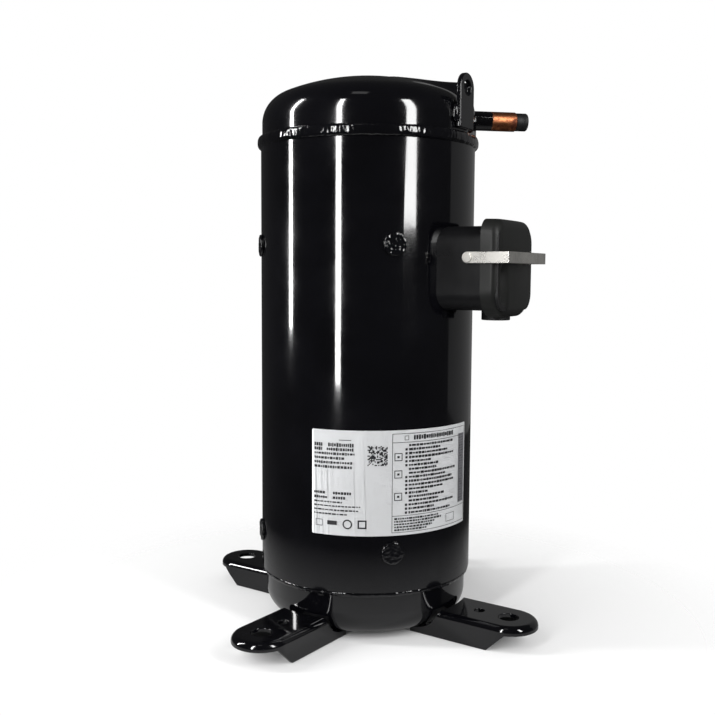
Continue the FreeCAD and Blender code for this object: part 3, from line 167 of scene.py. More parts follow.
class CoverSizes(bpy.types.PropertyGroup):
    direction: turn("Direction", "Direction of the terminal box around the shell", -40.6)
    middle: length("Middle", "Height of the middle of the terminal box", 0.272)
    half_width: length("Half width", "Half width of the cover", 0.037)
    half_height: length("Half height", "Half height of the cover", 0.0368)
    rim: length("Rim", "Open rim of the cover, from the axis", 0.117)
    front: length("Front", "Front of the cover, from the axis", 0.1323)
    fillet: length("Fillet", "Rounding of the front edge", 0.0075)
    upper_corner: length("Upper corners", "Radius of the two upper corners", 0.0115)
    lower_corner: length("Lower corners", "Radius of the two lower corners", 0.021)
    wall: length("Wall", "Wall of the cover", 0.002)
    crown: length("Crown", "How much the front bows outwards", 0.0016)
    scoop: length("Scoop", "Depth of the hollow along the near edge", 0.0045)
    draft: share("Draft", "How much the front narrows towards its upper and lower ends", 0.11)
    notch: length("Notch", "Radius of the notch for the cable outlet", 0.012)
    outlet: length("Outlet", "Distance of the cable outlet from the axis", 0.115)
    tint: colour("Plastic", "Colour of the moulded cover", (0.0085, 0.0088, 0.0083))


class LabelSizes(bpy.types.PropertyGroup):
    start: turn("Left edge", "Direction of the label's left edge", -128.5)
    sweep: turn("Sweep", "How far the label goes around the shell", 91.8)
    bottom: length("Lower edge", "Height of the lower edge", 0.0693)
    height: length("Height", "Height of the label", 0.0807)
    film: length("Film", "Thickness of the film", 0.0003)
    corner: length("Corner", "Radius of the film's corners", 0.0012)
    paper: colour("Film colour", "Printed film", (0.80, 0.81, 0.82))
    ink: colour("Ink", "Print", (0.012, 0.012, 0.014))
    pale_ink: colour("Pale ink", "Print of the side band", (0.13, 0.13, 0.14))


class StageSizes(bpy.types.PropertyGroup):
    lens: FloatProperty(name="Lens", description="Focal length of the camera in millimetres", default=46.89, min=1.0,
                        unit="CAMERA")
    floor_radius: length("Floor", "Radius of the floor", 1.1)
    floor_tint: colour("Floor colour", "Pale floor", (0.82, 0.82, 0.82))
    backdrop: brightness("Backdrop", "Brightness of the plain backdrop", 1.0)
    fill: brightness("Fill", "Brightness of the soft light from all around", 0.6)
    mirrored: brightness("Mirrored", "Brightness that glossy surfaces mirror where no light stands", 0.035)


# Mesh work

def transform(form, matrix):
    bmesh.ops.transform(form, matrix=matrix, verts=form.verts)


def linked(name, data):
    """A new object in the scene."""
    made = bpy.data.objects.new(name, data)
    bpy.context.scene.collection.objects.link(made)
    return made


def meshed(form, name):
    """A mesh made from a form, which is used up."""
    mesh = bpy.data.meshes.new(name)
    form.to_mesh(mesh)
    form.free()
    return mesh


def turned(form, profile, steps):
    """Spins a line of (radius, height) points a full turn around Z."""
    line = [form.verts.new((radius, 0, height)) for radius, height in profile]
    edges = [form.edges.new(pair) for pair in zip(line, line[1:])]
    bmesh.ops.spin(form, geom=line + edges, cent=(0, 0, 0), axis=AXIS, dvec=(0, 0, 0), angle=2 * math.pi, steps=steps,
                   use_merge=True)
    bmesh.ops.remove_doubles(form, verts=form.verts, dist=1e-7)
    bmesh.ops.recalc_face_normals(form, faces=form.faces)


def lathed(profile, steps, place, limit=35):
    """A spun form, laid in its place."""
    form = bmesh.new()
    turned(form, profile, steps)
    transform(form, place)
    crease(form, limit)
    return form


def ring(profile):
    """A closed profile for `turned`."""
    return profile + profile[:1]


def rounded_corner(x, y, radius, start, end, steps=4):
    """Points of an arc around (x, y), from one direction to another in degrees."""
    return [(x + radius * math.cos(math.radians(start + (end - start) * i / steps)),
             y + radius * math.sin(math.radians(start + (end - start) * i / steps))) for i in range(steps + 1)]


def swollen(form, height):
    """Moves every vertex along its normal by height(place); the heights are read before any moves."""
    form.normal_update()
    steps = [vert.normal * height(vert.co) for vert in form.verts]
    for vert, step in zip(form.verts, steps):
        vert.co += step


def crease(form, limit=35):
    """Smooth shading that breaks at edges sharper than `limit` degrees."""
    for face in form.faces:
        face.smooth = True
    for edge in form.edges:
        edge.smooth = not (edge.is_manifold and edge.calc_face_angle(0) > math.radians(limit))


def rounded(form, geom, width, segments, affect="EDGES", clamp=True):
    bmesh.ops.bevel(form, geom=geom, offset=width, offset_type="OFFSET", segments=segments,
                    profile=0.5, affect=affect, clamp_overlap=clamp, material=-1)


def cut(form, point, normal, near):
    """Cuts the whole form along a plane and keeps both sides."""
    bmesh.ops.bisect_plane(form, geom=form.verts[:] + form.edges[:] + form.faces[:], dist=near,
                           plane_co=point, plane_no=normal)


def cad_copy(node):
    """A joined copy of a CAD node's mesh."""
    form = bmesh.new()
    form.from_mesh(frame["nodes"][node].data)
    bmesh.ops.remove_doubles(form, verts=form.verts, dist=1e-6)
    return form


def softened(node, width, segments=3):
    """A copy of a sheet piece with rounded edges."""
    form = cad_copy(node)
    bmesh.ops.dissolve_limit(form, angle_limit=math.radians(0.6), use_dissolve_boundaries=False, verts=form.verts,
                             edges=form.edges, delimit={"NORMAL"})
    sharp = [edge for edge in form.edges if edge.is_manifold and edge.calc_face_angle(0) > math.radians(40)]
    rounded(form, sharp, width, segments)
    crease(form)
    return form


def finish(form, name, body, nodes, materials, weighted=False):
    """Turns a form into a piece that rides on a body and stands for CAD nodes."""
    mesh = meshed(form, name)
    for material in materials:
        mesh.materials.append(material)
    piece = linked(name, mesh)
    if weighted:
        modifier = piece.modifiers.new("Weighted Normal", "WEIGHTED_NORMAL")
        modifier.weight, modifier.keep_sharp = 100, True
    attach(piece, body)
    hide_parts(*nodes)
    return piece


def baked(form, *steps):
    """The form after modifiers, each given as (kind, settings)."""
    mesh = bpy.data.meshes.new("work")
    form.to_mesh(mesh)
    work = linked("work", mesh)
    for kind, settings in steps:
        modifier = work.modifiers.new(kind.title(), kind)
        for key, value in settings.items():
            setattr(modifier, key, value)
    done = bpy.data.meshes.new_from_object(work.evaluated_get(bpy.context.evaluated_depsgraph_get()))
    form.clear()
    form.from_mesh(done)
    bpy.data.objects.remove(work)
    bpy.data.meshes.remove(done)
    bpy.data.meshes.remove(mesh)
    return form


def box_frame(look):
    """From the terminal box's own frame, X outwards and Z up, to the row's."""
    return Matrix.Rotation(look.direction, 4, "Z")


# Shader groups

def add(tree, kind, inputs=None, **settings):
    """One shader node. Inputs are values or other nodes' sockets."""
    made = tree.nodes.new("ShaderNode" + kind)
    for key, value in settings.items():
        setattr(made, key, value)
    for key, value in (inputs or {}).items():
        if isinstance(value, bpy.types.NodeSocket):
            tree.links.new(value, made.inputs[key])
        else:
            made.inputs[key].default_value = value
    return made


def new_group(name, inputs, outputs):
    group = bpy.data.node_groups.new(name, "ShaderNodeTree")
    for label, default in inputs:
        kind = "NodeSocketVector" if label == "Vector" else "NodeSocketFloat"
        socket = group.interface.new_socket(name=label, in_out="INPUT", socket_type=kind)
        if default is not None:
            socket.default_value = default
    for label in outputs:
        group.interface.new_socket(name=label, in_out="OUTPUT", socket_type="NodeSocketFloat")
    start = group.nodes.new("NodeGroupInput")
    end = group.nodes.new("NodeGroupOutput")
    return group, start.outputs, end.inputs


def cloudy(tree, vector, scale, detail, **more):
    """A noise texture's value."""
    inputs = {"Vector": vector, "Scale": scale, "Detail": detail}
    inputs.update((key.title(), value) for key, value in more.items())
    return add(tree, "TexNoise", inputs).outputs[0]


def ranged(tree, value, low, high, bottom, top):
    """A Map Range node's result."""
    return add(tree, "MapRange", {"Value": value, "From Min": low, "From Max": high, "To Min": bottom,
                                  "To Max": top}).outputs["Result"]


def sum_of(tree, first, second, factor=1.0):
    """first + second * factor."""
    return add(tree, "Math", {0: second, 1: factor, 2: first}, operation="MULTIPLY_ADD").outputs[0]


def enamel_group():
    """Orange peel, patches that are less glossy, and fine settled dust."""
    group, given, result = new_group("Enamel skin", [("Vector", None), ("Peel", 260.0), ("Gloss", 0.06),
                                                     ("Scuff", 0.14), ("Dust", 0.1)],
                                     ["Height", "Roughness", "Tone"])
    peel = cloudy(group, given["Vector"], given["Peel"], 1.5)
    swell = cloudy(group, given["Vector"], 38.0, 1.0)
    group.links.new(sum_of(group, peel, swell, 2.2), result["Height"])
    patch = cloudy(group, given["Vector"], 14.0, 5.0, roughness=0.6)
    soft = ranged(group, patch, 0.38, 0.66, 0.0, 1.0)
    blend = add(group, "Mix", {"Factor": soft, 2: given["Gloss"], 3: given["Scuff"]})
    specks = cloudy(group, given["Vector"], 1400.0, 2.0)
    dusty = add(group, "Math", {0: ranged(group, specks, 0.6, 0.8, 0.0, 1.0), 1: given["Dust"]},
                operation="MULTIPLY")
    group.links.new(sum_of(group, blend.outputs[0], dusty.outputs[0]), result["Roughness"])
    group.links.new(soft, result["Tone"])
    return group


def grain_group():
    """The skin of a casting or a moulding: pits, grain and cloudy tone."""
    group, given, result = new_group("Cast grain", [("Vector", None), ("Grain", 900.0), ("Cloud", 30.0)],
                                     ["Height", "Tone"])
    fine = cloudy(group, given["Vector"], given["Grain"], 4.0, roughness=0.65)
    pits = add(group, "TexVoronoi", {"Vector": given["Vector"], "Scale": given["Grain"]})
    group.links.new(sum_of(group, fine, pits.outputs["Distance"], -0.35), result["Height"])
    cloud = cloudy(group, given["Vector"], given["Cloud"], 4.0)
    group.links.new(ranged(group, cloud, 0.3, 0.7, 0.0, 1.0), result["Tone"])
    return group


def lathe_group():
    """Fine rings left by a lathe, around Z."""
    group, given, result = new_group("Lathe marks", [("Vector", None), ("Rings", 900.0)], ["Height", "Tone"])
    parts = add(group, "SeparateXYZ", {0: given["Vector"]})
    flat = add(group, "CombineXYZ", {"X": parts.outputs[0], "Y": parts.outputs[1]})
    radius = add(group, "VectorMath", {0: flat.outputs[0]}, operation="LENGTH")
    along = add(group, "Math", {0: radius.outputs["Value"], 1: parts.outputs[2]}, operation="ADD")
    place = add(group, "CombineXYZ", {"X": along.outputs[0]})
    rings = cloudy(group, place.outputs[0], given["Rings"], 3.0)
    group.links.new(rings, result["Height"])
    stain = cloudy(group, given["Vector"], 40.0, 4.0)
    mixed = add(group, "Mix", {"Factor": 0.5, 2: rings, 3: stain})
    group.links.new(ranged(group, mixed.outputs[0], 0.35, 0.65, 0.0, 1.0), result["Tone"])
    return group


def mottle_group():
    """Blotches of tarnish with fine scratches."""
    group, given, result = new_group("Mottling", [("Vector", None), ("Blotch", 190.0)], ["Tone", "Height", "Edge"])
    blotch = cloudy(group, given["Vector"], given["Blotch"], 6.0, roughness=0.62, distortion=0.5)
    group.links.new(ranged(group, blotch, 0.36, 0.62, 0.0, 1.0), result["Tone"])
    scratch = cloudy(group, given["Vector"], 1500.0, 3.0)
    group.links.new(sum_of(group, blotch, scratch, 0.4), result["Height"])
    ragged = cloudy(group, given["Vector"], 420.0, 3.0)
    group.links.new(ranged(group, ragged, 0.0, 1.0, -0.5, 0.5), result["Edge"])
    return group


GROUPS = {"enamel": enamel_group, "grain": grain_group, "lathe": lathe_group, "mottle": mottle_group}


def placed(tree, key, vector, **values):
    """One of the shared groups, built once, in a material's tree."""
    stored = "compressor " + key
    if stored not in bpy.data.node_groups:
        GROUPS[key]().name = stored
    node = tree.nodes.new("ShaderNodeGroup")
    node.node_tree = bpy.data.node_groups[stored]
    tree.links.new(vector, node.inputs["Vector"])
    for label, value in values.items():
        node.inputs[label.title()].default_value = value
    return node.outputs


# Materials

def blank(name, even=None):
    """A material, its tree, its shader with the values that are even all over, and its coordinates."""
    material = bpy.data.materials.new(name)
    material.use_nodes = True
    tree = material.node_tree
    tree.nodes.clear()
    shader = add(tree, "BsdfPrincipled", even)
    add(tree, "OutputMaterial", {"Surface": shader.outputs[0]})
    return material, tree, shader, add(tree, "TexCoord").outputs["Object"]


def drive(tree, shader, key, socket):
    tree.links.new(socket, shader.inputs[key])


def raised(tree, shader, height, distance):
    bump = add(tree, "Bump", {"Height": height, "Distance": distance, "Strength": 1.0})
    drive(tree, shader, "Normal", bump.outputs[0])


def between(tree, factor, first, second):
    """Mixes two colours."""
    return add(tree, "Mix", {"Factor": factor, 6: (*first, 1), 7: (*second, 1)}, data_type="RGBA").outputs[2]


def lighter(tint, factor):
    return tuple(min(1.0, part * factor) for part in tint)


def surfaced(tree, shader, mask, first, second, roughness, height, depth):
    """The usual surface: two colours under a mask, a roughness and a relief."""
    drive(tree, shader, "Base Color", between(tree, mask, first, second))
    drive(tree, shader, "Roughness", roughness)
    raised(tree, shader, height, depth)


def enamel(name, tint, gloss, scuff, peel, scale=260.0, lumps=0.0, coat=0.35, level=0.5):
    """Enamel over steel; `lumps` adds the unevenness of a weld under it."""
    if name in bpy.data.materials:
        return bpy.data.materials[name]
    material, tree, shader, place = blank(name, {"IOR": 1.52, "Specular IOR Level": level, "Coat Weight": coat,
                                                 "Coat Roughness": gloss})
    skin = placed(tree, "enamel", place, peel=scale, gloss=gloss, scuff=scuff)
    height = skin["Height"]
    if lumps:
        rough = cloudy(tree, place, 640.0, 2.0, roughness=0.5)
        height = sum_of(tree, height, rough, lumps / peel)
    surfaced(tree, shader, skin["Tone"], tint, lighter(tint, 1.7), skin["Roughness"], height, peel)
    return material


def metal(name, tint, low, high, key, depth, **values):
    """Bare metal with one of the shared skins."""
    if name in bpy.data.materials:
        return bpy.data.materials[name]
    material, tree, shader, place = blank(name, {"Metallic": 1.0})
    skin = placed(tree, key, place, **values)
    surfaced(tree, shader, skin["Tone"], lighter(tint, 0.72), tint,
             ranged(tree, skin["Tone"], 0.0, 1.0, high, low), skin["Height"], depth)
    return material


def moulded(name, tint, low, high, depth, grain=900.0, cloud=30.0, level=0.5):
    """Plastic, rubber or ceramic with a moulded grain."""
    if name in bpy.data.materials:
        return bpy.data.materials[name]
    material, tree, shader, place = blank(name, {"Specular IOR Level": level})
    skin = placed(tree, "grain", place, grain=grain, cloud=cloud)
    surfaced(tree, shader, skin["Tone"], lighter(tint, 0.82), lighter(tint, 1.12),
             ranged(tree, skin["Tone"], 0.0, 1.0, low, high), skin["Height"], depth)
    return material


def copper_tube(name, look, tint, axis, painted):
    """Mottled copper; the stretch nearer the axis than `painted` is enamelled, with a ragged edge."""
    material, tree, shader, place = blank(name)
    skin = placed(tree, "mottle", place)
    parts = add(tree, "SeparateXYZ", {0: place})
    ragged = sum_of(tree, parts.outputs[axis], skin["Edge"], 0.0045)
    bare = ranged(tree, ragged, painted - 0.0005, painted + 0.0005, 0.0, 1.0)
    bright = between(tree, skin["Tone"], look.patina, look.copper)
    colour_node = add(tree, "Mix", {"Factor": bare, 6: (*tint, 1), 7: bright}, data_type="RGBA")
    drive(tree, shader, "Base Color", colour_node.outputs[2])
    drive(tree, shader, "Metallic", bare)
    dull = ranged(tree, skin["Tone"], 0.0, 1.0, 0.62, 0.34)
    drive(tree, shader, "Roughness", add(tree, "Mix", {"Factor": bare, 2: 0.07, 3: dull}).outputs[0])
    drive(tree, shader, "Coat Weight", ranged(tree, bare, 0.0, 1.0, 0.35, 0.0))
    raised(tree, shader, skin["Height"], 0.00005)
    return material


def laminated(name, tint):
    """Stacked sheets with their edges showing."""
    material, tree, shader, place = blank(name, {"Metallic": 1.0})
    skin = placed(tree, "lathe", place, rings=500.0)
    parts = add(tree, "SeparateXYZ", {0: place})
    along = add(tree, "CombineXYZ", {"Z": parts.outputs[2]})
    sheets = add(tree, "TexWave", {"Vector": along.outputs[0], "Scale": 320.0}, bands_direction="Z")
    surfaced(tree, shader, sheets.outputs["Fac"], lighter(tint, 0.45), tint,
             ranged(tree, skin["Tone"], 0.0, 1.0, 0.6, 0.4), sheets.outputs["Fac"], 0.00012)
    return material


def wound(name, tint):
    """Enamelled wires laid side by side."""
    material, tree, shader, place = blank(name, {"Metallic": 0.75})
    skin = placed(tree, "grain", place, grain=240.0, cloud=70.0)
    wires = add(tree, "TexWave", {"Vector": place, "Scale": 190.0, "Distortion": 3.0, "Detail": 1.0,
                                  "Detail Scale": 0.6}, bands_direction="DIAGONAL")
    surfaced(tree, shader, wires.outputs["Fac"], lighter(tint, 0.4), tint,
             ranged(tree, skin["Tone"], 0.0, 1.0, 0.42, 0.28), wires.outputs["Fac"], 0.0004)
    return material


def printed(name, tint, low, high):
    """Printed film: a faint paper cloud and slight waviness."""
    material, tree, shader, place = blank(name)
    skin = placed(tree, "enamel", place, peel=220.0, gloss=low, scuff=high, dust=0.05)
    surfaced(tree, shader, skin["Tone"], lighter(tint, 0.96), tint, skin["Roughness"], skin["Height"], 0.00001)
    return material


def sealing_glass(name):
    """Cloudy green glass around a pin."""
    material, tree, shader, place = blank(name, {"Transmission Weight": 0.35})
    skin = placed(tree, "grain", place, grain=600.0, cloud=200.0)
    surfaced(tree, shader, skin["Tone"], (0.10, 0.17, 0.16), (0.22, 0.33, 0.31),
             ranged(tree, skin["Tone"], 0.0, 1.0, 0.08, 0.16), skin["Height"], 0.00002)
    return material


def shell_enamel(scene):
    look = scene.compressor_enamel
    return enamel("gloss black enamel", look.tint, look.gloss, look.scuff, look.peel)


def weld_enamel(scene):
    look = scene.compressor_enamel
    return enamel("enamel over weld", look.tint, look.gloss, look.scuff, look.peel, lumps=0.00014)


def box_enamel(scene):
    look = scene.compressor_enamel
    return enamel("satin box enamel", look.box_tint, 0.24, 0.36, look.peel * 2, scale=420.0, coat=0.0,
                  level=0.22)


def stopper_rubber():
    return moulded("black rubber", (0.0055, 0.0055, 0.006), 0.42, 0.62, 0.00003, grain=700.0, level=0.35)


def zinc():
    return metal("bright zinc", (0.88, 0.86, 0.81), 0.26, 0.34, "mottle", 0.000002, blotch=60.0)


# Pieces

SHOULDER_BASE = 0.36  # height of the soft block's underside, inside the cap
SHOULDER_CORNER = 0.008  # rounding of the soft block
BLEND_DEPTH = 0.012  # the dome is shaped from this far below the knuckle's top
BLEND_BACK = -0.01  # and only in front of this, along X
HEADING_DROP = 0.03  # vertices move away from a line this far below the knuckle's top
HEADING_SHARE = 0.35  # and this share of their own distance from the axis
BLEND_ROUNDS = 14
BLEND_STRIDE = 0.85


def dome_distance(look, crown_middle, knuckle_height, point):
    """Distance of a point from the plain dome, negative inside."""
    radius = math.hypot(point.x, point.y)
    knuckle_radius = look.radius - look.knuckle
    if point.z <= knuckle_height:
        return radius - look.radius
    out, up = radius - knuckle_radius, point.z - knuckle_height
    limit = math.atan2(knuckle_height - crown_middle, knuckle_radius)
    if out > 0 and math.atan2(up, out) < limit:
        return math.hypot(out, up) - look.knuckle
    return math.hypot(radius, point.z - crown_middle) - look.crown


def shoulder_distance(look, point):
    """Distance of a point from the soft block behind the discharge tube, negative inside."""
    middle = Vector(((look.shoulder_start + look.shoulder_reach) / 2, 0,
                     (SHOULDER_BASE + look.shoulder_top) / 2))
    half = Vector(((look.shoulder_reach - look.shoulder_start) / 2, look.shoulder_half,
                   (look.shoulder_top - SHOULDER_BASE) / 2))
    away = point - middle
    beyond = Vector([abs(away[i]) - half[i] + SHOULDER_CORNER for i in range(3)])
    outside = Vector([max(part, 0.0) for part in beyond]).length
    return outside + min(max(beyond), 0.0) - SHOULDER_CORNER


def cap_distance(look, crown_middle, knuckle_height, point):
    """The dome and the shoulder, run into each other softly."""
    dome = dome_distance(look, crown_middle, knuckle_height, point)
    shoulder = shoulder_distance(look, point)
    blend = look.shoulder_blend
    share_of = max(blend - abs(dome - shoulder), 0.0) / blend
    return min(dome, shoulder) - share_of * share_of * blend / 4


class COMPRESSOR_OT_upper_cap(bpy.types.Operator):
    """Spin the upper cap's dome and raise its shoulder towards the discharge tube"""

    bl_idname = "compressor.upper_cap"
    bl_label = "Upper Cap"

    def execute(self, context):
        look = context.scene.compressor_cap
        bottom, apex = span("upper_cap", 2)
        crown_middle = apex - look.crown
        knuckle_radius = look.radius - look.knuckle
        knuckle_height = crown_middle + math.sqrt((look.crown - look.knuckle) ** 2 - knuckle_radius ** 2)
        lean = math.degrees(math.atan2(knuckle_height - crown_middle, knuckle_radius))
        profile = [(look.radius, bottom)]
        profile += [(look.radius, bottom + (knuckle_height - bottom) * i / 6) for i in range(1, 6)]
        profile += rounded_corner(knuckle_radius, knuckle_height, look.knuckle, 0, lean, 22)
        profile += rounded_corner(0, crown_middle, look.crown, lean, 90, 34)[1:]
        form = bmesh.new()
        turned(form, profile, look.columns)
        for vert in form.verts:
            if vert.co.z < knuckle_height - BLEND_DEPTH or vert.co.x < BLEND_BACK:
                continue
            centre = Vector((vert.co.x * HEADING_SHARE, vert.co.y * HEADING_SHARE, knuckle_height - HEADING_DROP))
            heading = (vert.co - centre).normalized()
            for _ in range(BLEND_ROUNDS):
                away = cap_distance(look, crown_middle, knuckle_height, vert.co)
                vert.co -= heading * away * BLEND_STRIDE
        for vert in form.verts:
            vert.co.z = min(vert.co.z, apex)
        bmesh.ops.recalc_face_normals(form, faces=form.faces)
        bmesh.ops.solidify(form, geom=form.faces[:], thickness=look.wall)
        crease(form, 50)
        finish(form, "upper_cap_skin", "casing", ["upper_cap"], [shell_enamel(context.scene)])
        return {"FINISHED"}


BEAD_SIDES = 26
UPPER_SLACK, LOWER_SLACK = 0.0004, 0.0002  # room that the ripples take up


def squared(size, part):
    """Flattens a circle's sine or cosine, so that a bead is fuller than round."""
    return math.copysign(size * abs(part) ** 0.7, part)


def seam(form, radius, height, bead, look, seed):
    """A weld bead right around the shell, rippled and lumpy."""
    section = [(radius + squared(bead, math.cos(math.tau * i / BEAD_SIDES)),
                height + squared(bead, math.sin(math.tau * i / BEAD_SIDES))) for i in range(BEAD_SIDES)]
    turned(form, ring(section), look.steps)

    def unevenness(place):
        arc = math.atan2(place.y, place.x) * radius
        up = (place.z - height) / bead
        wander = 1.5 * noise.noise(place * 120)
        ripple = math.sin(math.tau * (arc / look.pitch + 0.5 * up * up) + wander)
        lump = noise.noise(place * 230 + Vector((seed, 0, 0))) + 0.45 * noise.noise(place * 620)
        return ripple * look.ripple + lump * look.lump

    swollen(form, unevenness)
    crease(form, 80)


class COMPRESSOR_OT_seam_welds(bpy.types.Operator):
    """Lay the rippled beads around the upper seam and the lower lip"""

    bl_idname = "compressor.seam_welds"
    bl_label = "Seam Welds"

    def execute(self, context):
        look = context.scene.compressor_welds
        low, high = span("upper_seam_weld", 2)
        form = bmesh.new()
        bead = look.seam_radius - UPPER_SLACK
        seam(form, SHELL_RADIUS + look.seam_stand - bead, (low + high) / 2, bead, look, 3.0)
        finish(form, "upper_seam_bead", "casing", ["upper_seam_weld"], [weld_enamel(context.scene)])
        low, high = span("lower_seam_weld", 2)
        outer = span("lower_seam_weld", 0)[1]
        bead = (high - low) / 2
        form = bmesh.new()
        seam(form, outer - bead - LOWER_SLACK, (low + high) / 2, bead, look, 8.0)
        finish(form, "lower_seam_bead", "casing", ["lower_seam_weld"], [weld_enamel(context.scene)])
        return {"FINISHED"}


class COMPRESSOR_OT_short_welds(bpy.types.Operator):
    """Roughen the plug welds and the short beads at the feet and the lug"""

    bl_idname = "compressor.short_welds"
    bl_label = "Short Welds"

    def execute(self, context):
        look = context.scene.compressor_welds
        for node, lump in (("frame_plug_welds", 1.5), ("bearing_plug_welds", 1.5), ("foot_welds", 0.8),
                           ("lug_welds", 0.6)):
            form = baked(cad_copy(node), ("REMESH", {"mode": "VOXEL", "voxel_size": look.grain}))
            bmesh.ops.smooth_vert(form, verts=form.verts, factor=0.5, use_axis_x=True, use_axis_y=True,
                                  use_axis_z=True)
            height = look.lump * lump * 0.6
            swollen(form, lambda place: (noise.noise(place * 420) + noise.noise(place * 900)) * height)
            for face in form.faces:
                face.smooth = True
            finish(form, node.replace("welds", "beads"), "casing", [node], [weld_enamel(context.scene)])
        return {"FINISHED"}


class COMPRESSOR_OT_feet(bpy.types.Operator):
    """Round the edges of the four pressed feet"""

    bl_idname = "compressor.feet"
    bl_label = "Feet"

    def execute(self, context):
        look = context.scene.compressor_sheet
        for corner in ("front_right", "back_right", "back_left", "front_left"):
            form = softened("foot_" + corner, look.foot_edge)
            finish(form, "pressed_foot_" + corner, "casing", ["foot_" + corner],
                   [shell_enamel(context.scene)], weighted=True)
        return {"FINISHED"}


class COMPRESSOR_OT_lifting_lug(bpy.types.Operator):
    """Round the edges of the lifting lug"""

    bl_idname = "compressor.lifting_lug"
    bl_label = "Lifting Lug"

    def execute(self, context):
        form = softened("lifting_lug", context.scene.compressor_sheet.lug_edge, 4)
        finish(form, "lug_plate", "casing", ["lifting_lug"], [shell_enamel(context.scene)],
               weighted=True)
        return {"FINISHED"}


def stub_frame(node, axis):
    """Turns a form spun around Z so that it lies along X or Y at a tube's height."""
    low, high = span(node, 2)
    lay = Matrix.Rotation(math.radians(90), 4, "Y") if axis == 0 else Matrix.Rotation(math.radians(-90), 4, "X")
    return Matrix.Translation((0, 0, (low + high) / 2)) @ lay


class COMPRESSOR_OT_tubes(bpy.types.Operator):
    """Spin the discharge tube, the suction tube and the fitting around it"""

    bl_idname = "compressor.tubes"
    bl_label = "Tubes"

    def execute(self, context):
        look = context.scene.compressor_tubes
        tint = context.scene.compressor_enamel.tint
        lip = 0.0003
        fitting_end = span("suction_fitting", 1)[1]
        for node, axis, radius, seat, painted in (
                ("discharge_tube", 0, look.discharge_radius, span("upper_cap", 0)[1], look.painted),
                ("suction_tube", 1, look.suction_radius, fitting_end, fitting_end + 0.008)):
            start, end = span(node, axis)
            inner, slim = radius - look.wall, radius - look.spigot_step
            profile = [(inner, start), (slim, start), (slim, seat), (radius, seat + lip),
                       (radius, (seat + end) / 2), (radius, end - lip), (radius - lip, end), (inner + lip, end),
                       (inner, end - lip)]
            form = lathed(ring(profile), TUBE_STEPS, stub_frame(node, axis))
            finish(form, node + "_drawn", "casing", [node],
                   [copper_tube("mottled copper, " + node.replace("_", " "), look, tint, axis, painted)])
        start, end = span("suction_fitting", 1)
        low, high = span("suction_fitting", 2)
        outer = (high - low) / 2
        inner = look.suction_radius - look.spigot_step + 0.00005
        edge = 0.0022
        profile = [(inner, start), (outer, start), (outer, end - edge)]
        profile += rounded_corner(outer - edge, end - edge, edge, 0, 90, 5)
        profile += [(inner + 0.0004, end), (inner, end - 0.0004)]
        form = lathed(ring(profile), TUBE_STEPS, stub_frame("suction_fitting", 1))
        finish(form, "suction_collar", "casing", ["suction_fitting"], [shell_enamel(context.scene)])
        return {"FINISHED"}


class COMPRESSOR_OT_stoppers(bpy.types.Operator):
    """Spin the rubber stoppers with their rounded heads and stems"""

    bl_idname = "compressor.stoppers"
    bl_label = "Stoppers"

    def execute(self, context):
        look = context.scene.compressor_tubes
        for node, tube, axis, radius, body in (
                ("discharge_stopper", "discharge_tube", 0, look.discharge_radius, "discharge_plug"),
                ("suction_stopper", "suction_tube", 1, look.suction_radius, "suction_plug")):
            start, end = span(node, axis)
            low, high = span(node, 2)
            head = (high - low) / 2
            seat = span(tube, axis)[1] + 0.0001
            stem = radius - look.wall - 0.00004
            profile = [(0, start + 0.0006), (stem - 0.0016, start + 0.0004), (stem - 0.0012, start)]
            profile += [(stem - 0.0005, start + 0.0008), (stem, start + 0.0025), (stem, seat), (head - 0.0005, seat)]
            profile += rounded_corner(head - 0.0005, seat + 0.0005, 0.0005, -90, 0, 3)
            profile += [(head, end - 0.0042), (head - 0.00012, end - 0.004), (head, end - 0.0038)]
            profile += rounded_corner(head - 0.0014, end - 0.0014, 0.0014, 0, 90, 6)
            profile += [(head - 0.0026, end - 0.00025), (0, end - 0.0006)]
            form = lathed(profile, STOPPER_STEPS, stub_frame(node, axis), 50)
            finish(form, node + "_plug", body, [node], [stopper_rubber()])
        return {"FINISHED"}


class COMPRESSOR_OT_fence(bpy.types.Operator):
    """Round the edges of the terminal box's steel fence"""

    bl_idname = "compressor.fence"
    bl_label = "Terminal Fence"

    def execute(self, context):
        form = softened("terminal_fence", context.scene.compressor_sheet.fence_edge)
        finish(form, "fence_ring", "casing", ["terminal_fence"], [box_enamel(context.scene)],
               weighted=True)
        return {"FINISHED"}


def long_edges(form, look, side):
    """The cover's edges that run outwards at its upper (1) or lower (-1) corners."""
    return [edge for edge in form.edges if all(vert.co.z * side > look.half_height * 0.999 for vert in edge.verts)
            and abs(edge.verts[0].co.x - edge.verts[1].co.x) > look.fillet]


def notched(form, look):
    """Cuts the notch for the cable outlet through the lower wall."""
    drill = bmesh.new()
    bmesh.ops.create_cone(drill, cap_ends=True, segments=64, radius1=look.notch, radius2=look.notch, depth=0.02)
    transform(drill, Matrix.Translation((look.outlet, 0, look.middle - look.half_height)))
    mesh = meshed(drill, "notch")
    tool = linked("notch", mesh)
    baked(form, ("BOOLEAN", {"operation": "DIFFERENCE", "solver": "EXACT", "object": tool}))
    bpy.data.objects.remove(tool)
    bpy.data.meshes.remove(mesh)


COVER_CUTS = 13  # strips in each half of the cover
SCOOP_ASIDE, SCOOP_BELOW = 0.70, 0.40  # the hollow's place, in shares of the half width and half height
SCOOP_WIDTH, SCOOP_HEIGHT, SCOOP_BOW = 0.10, 0.46, 0.10


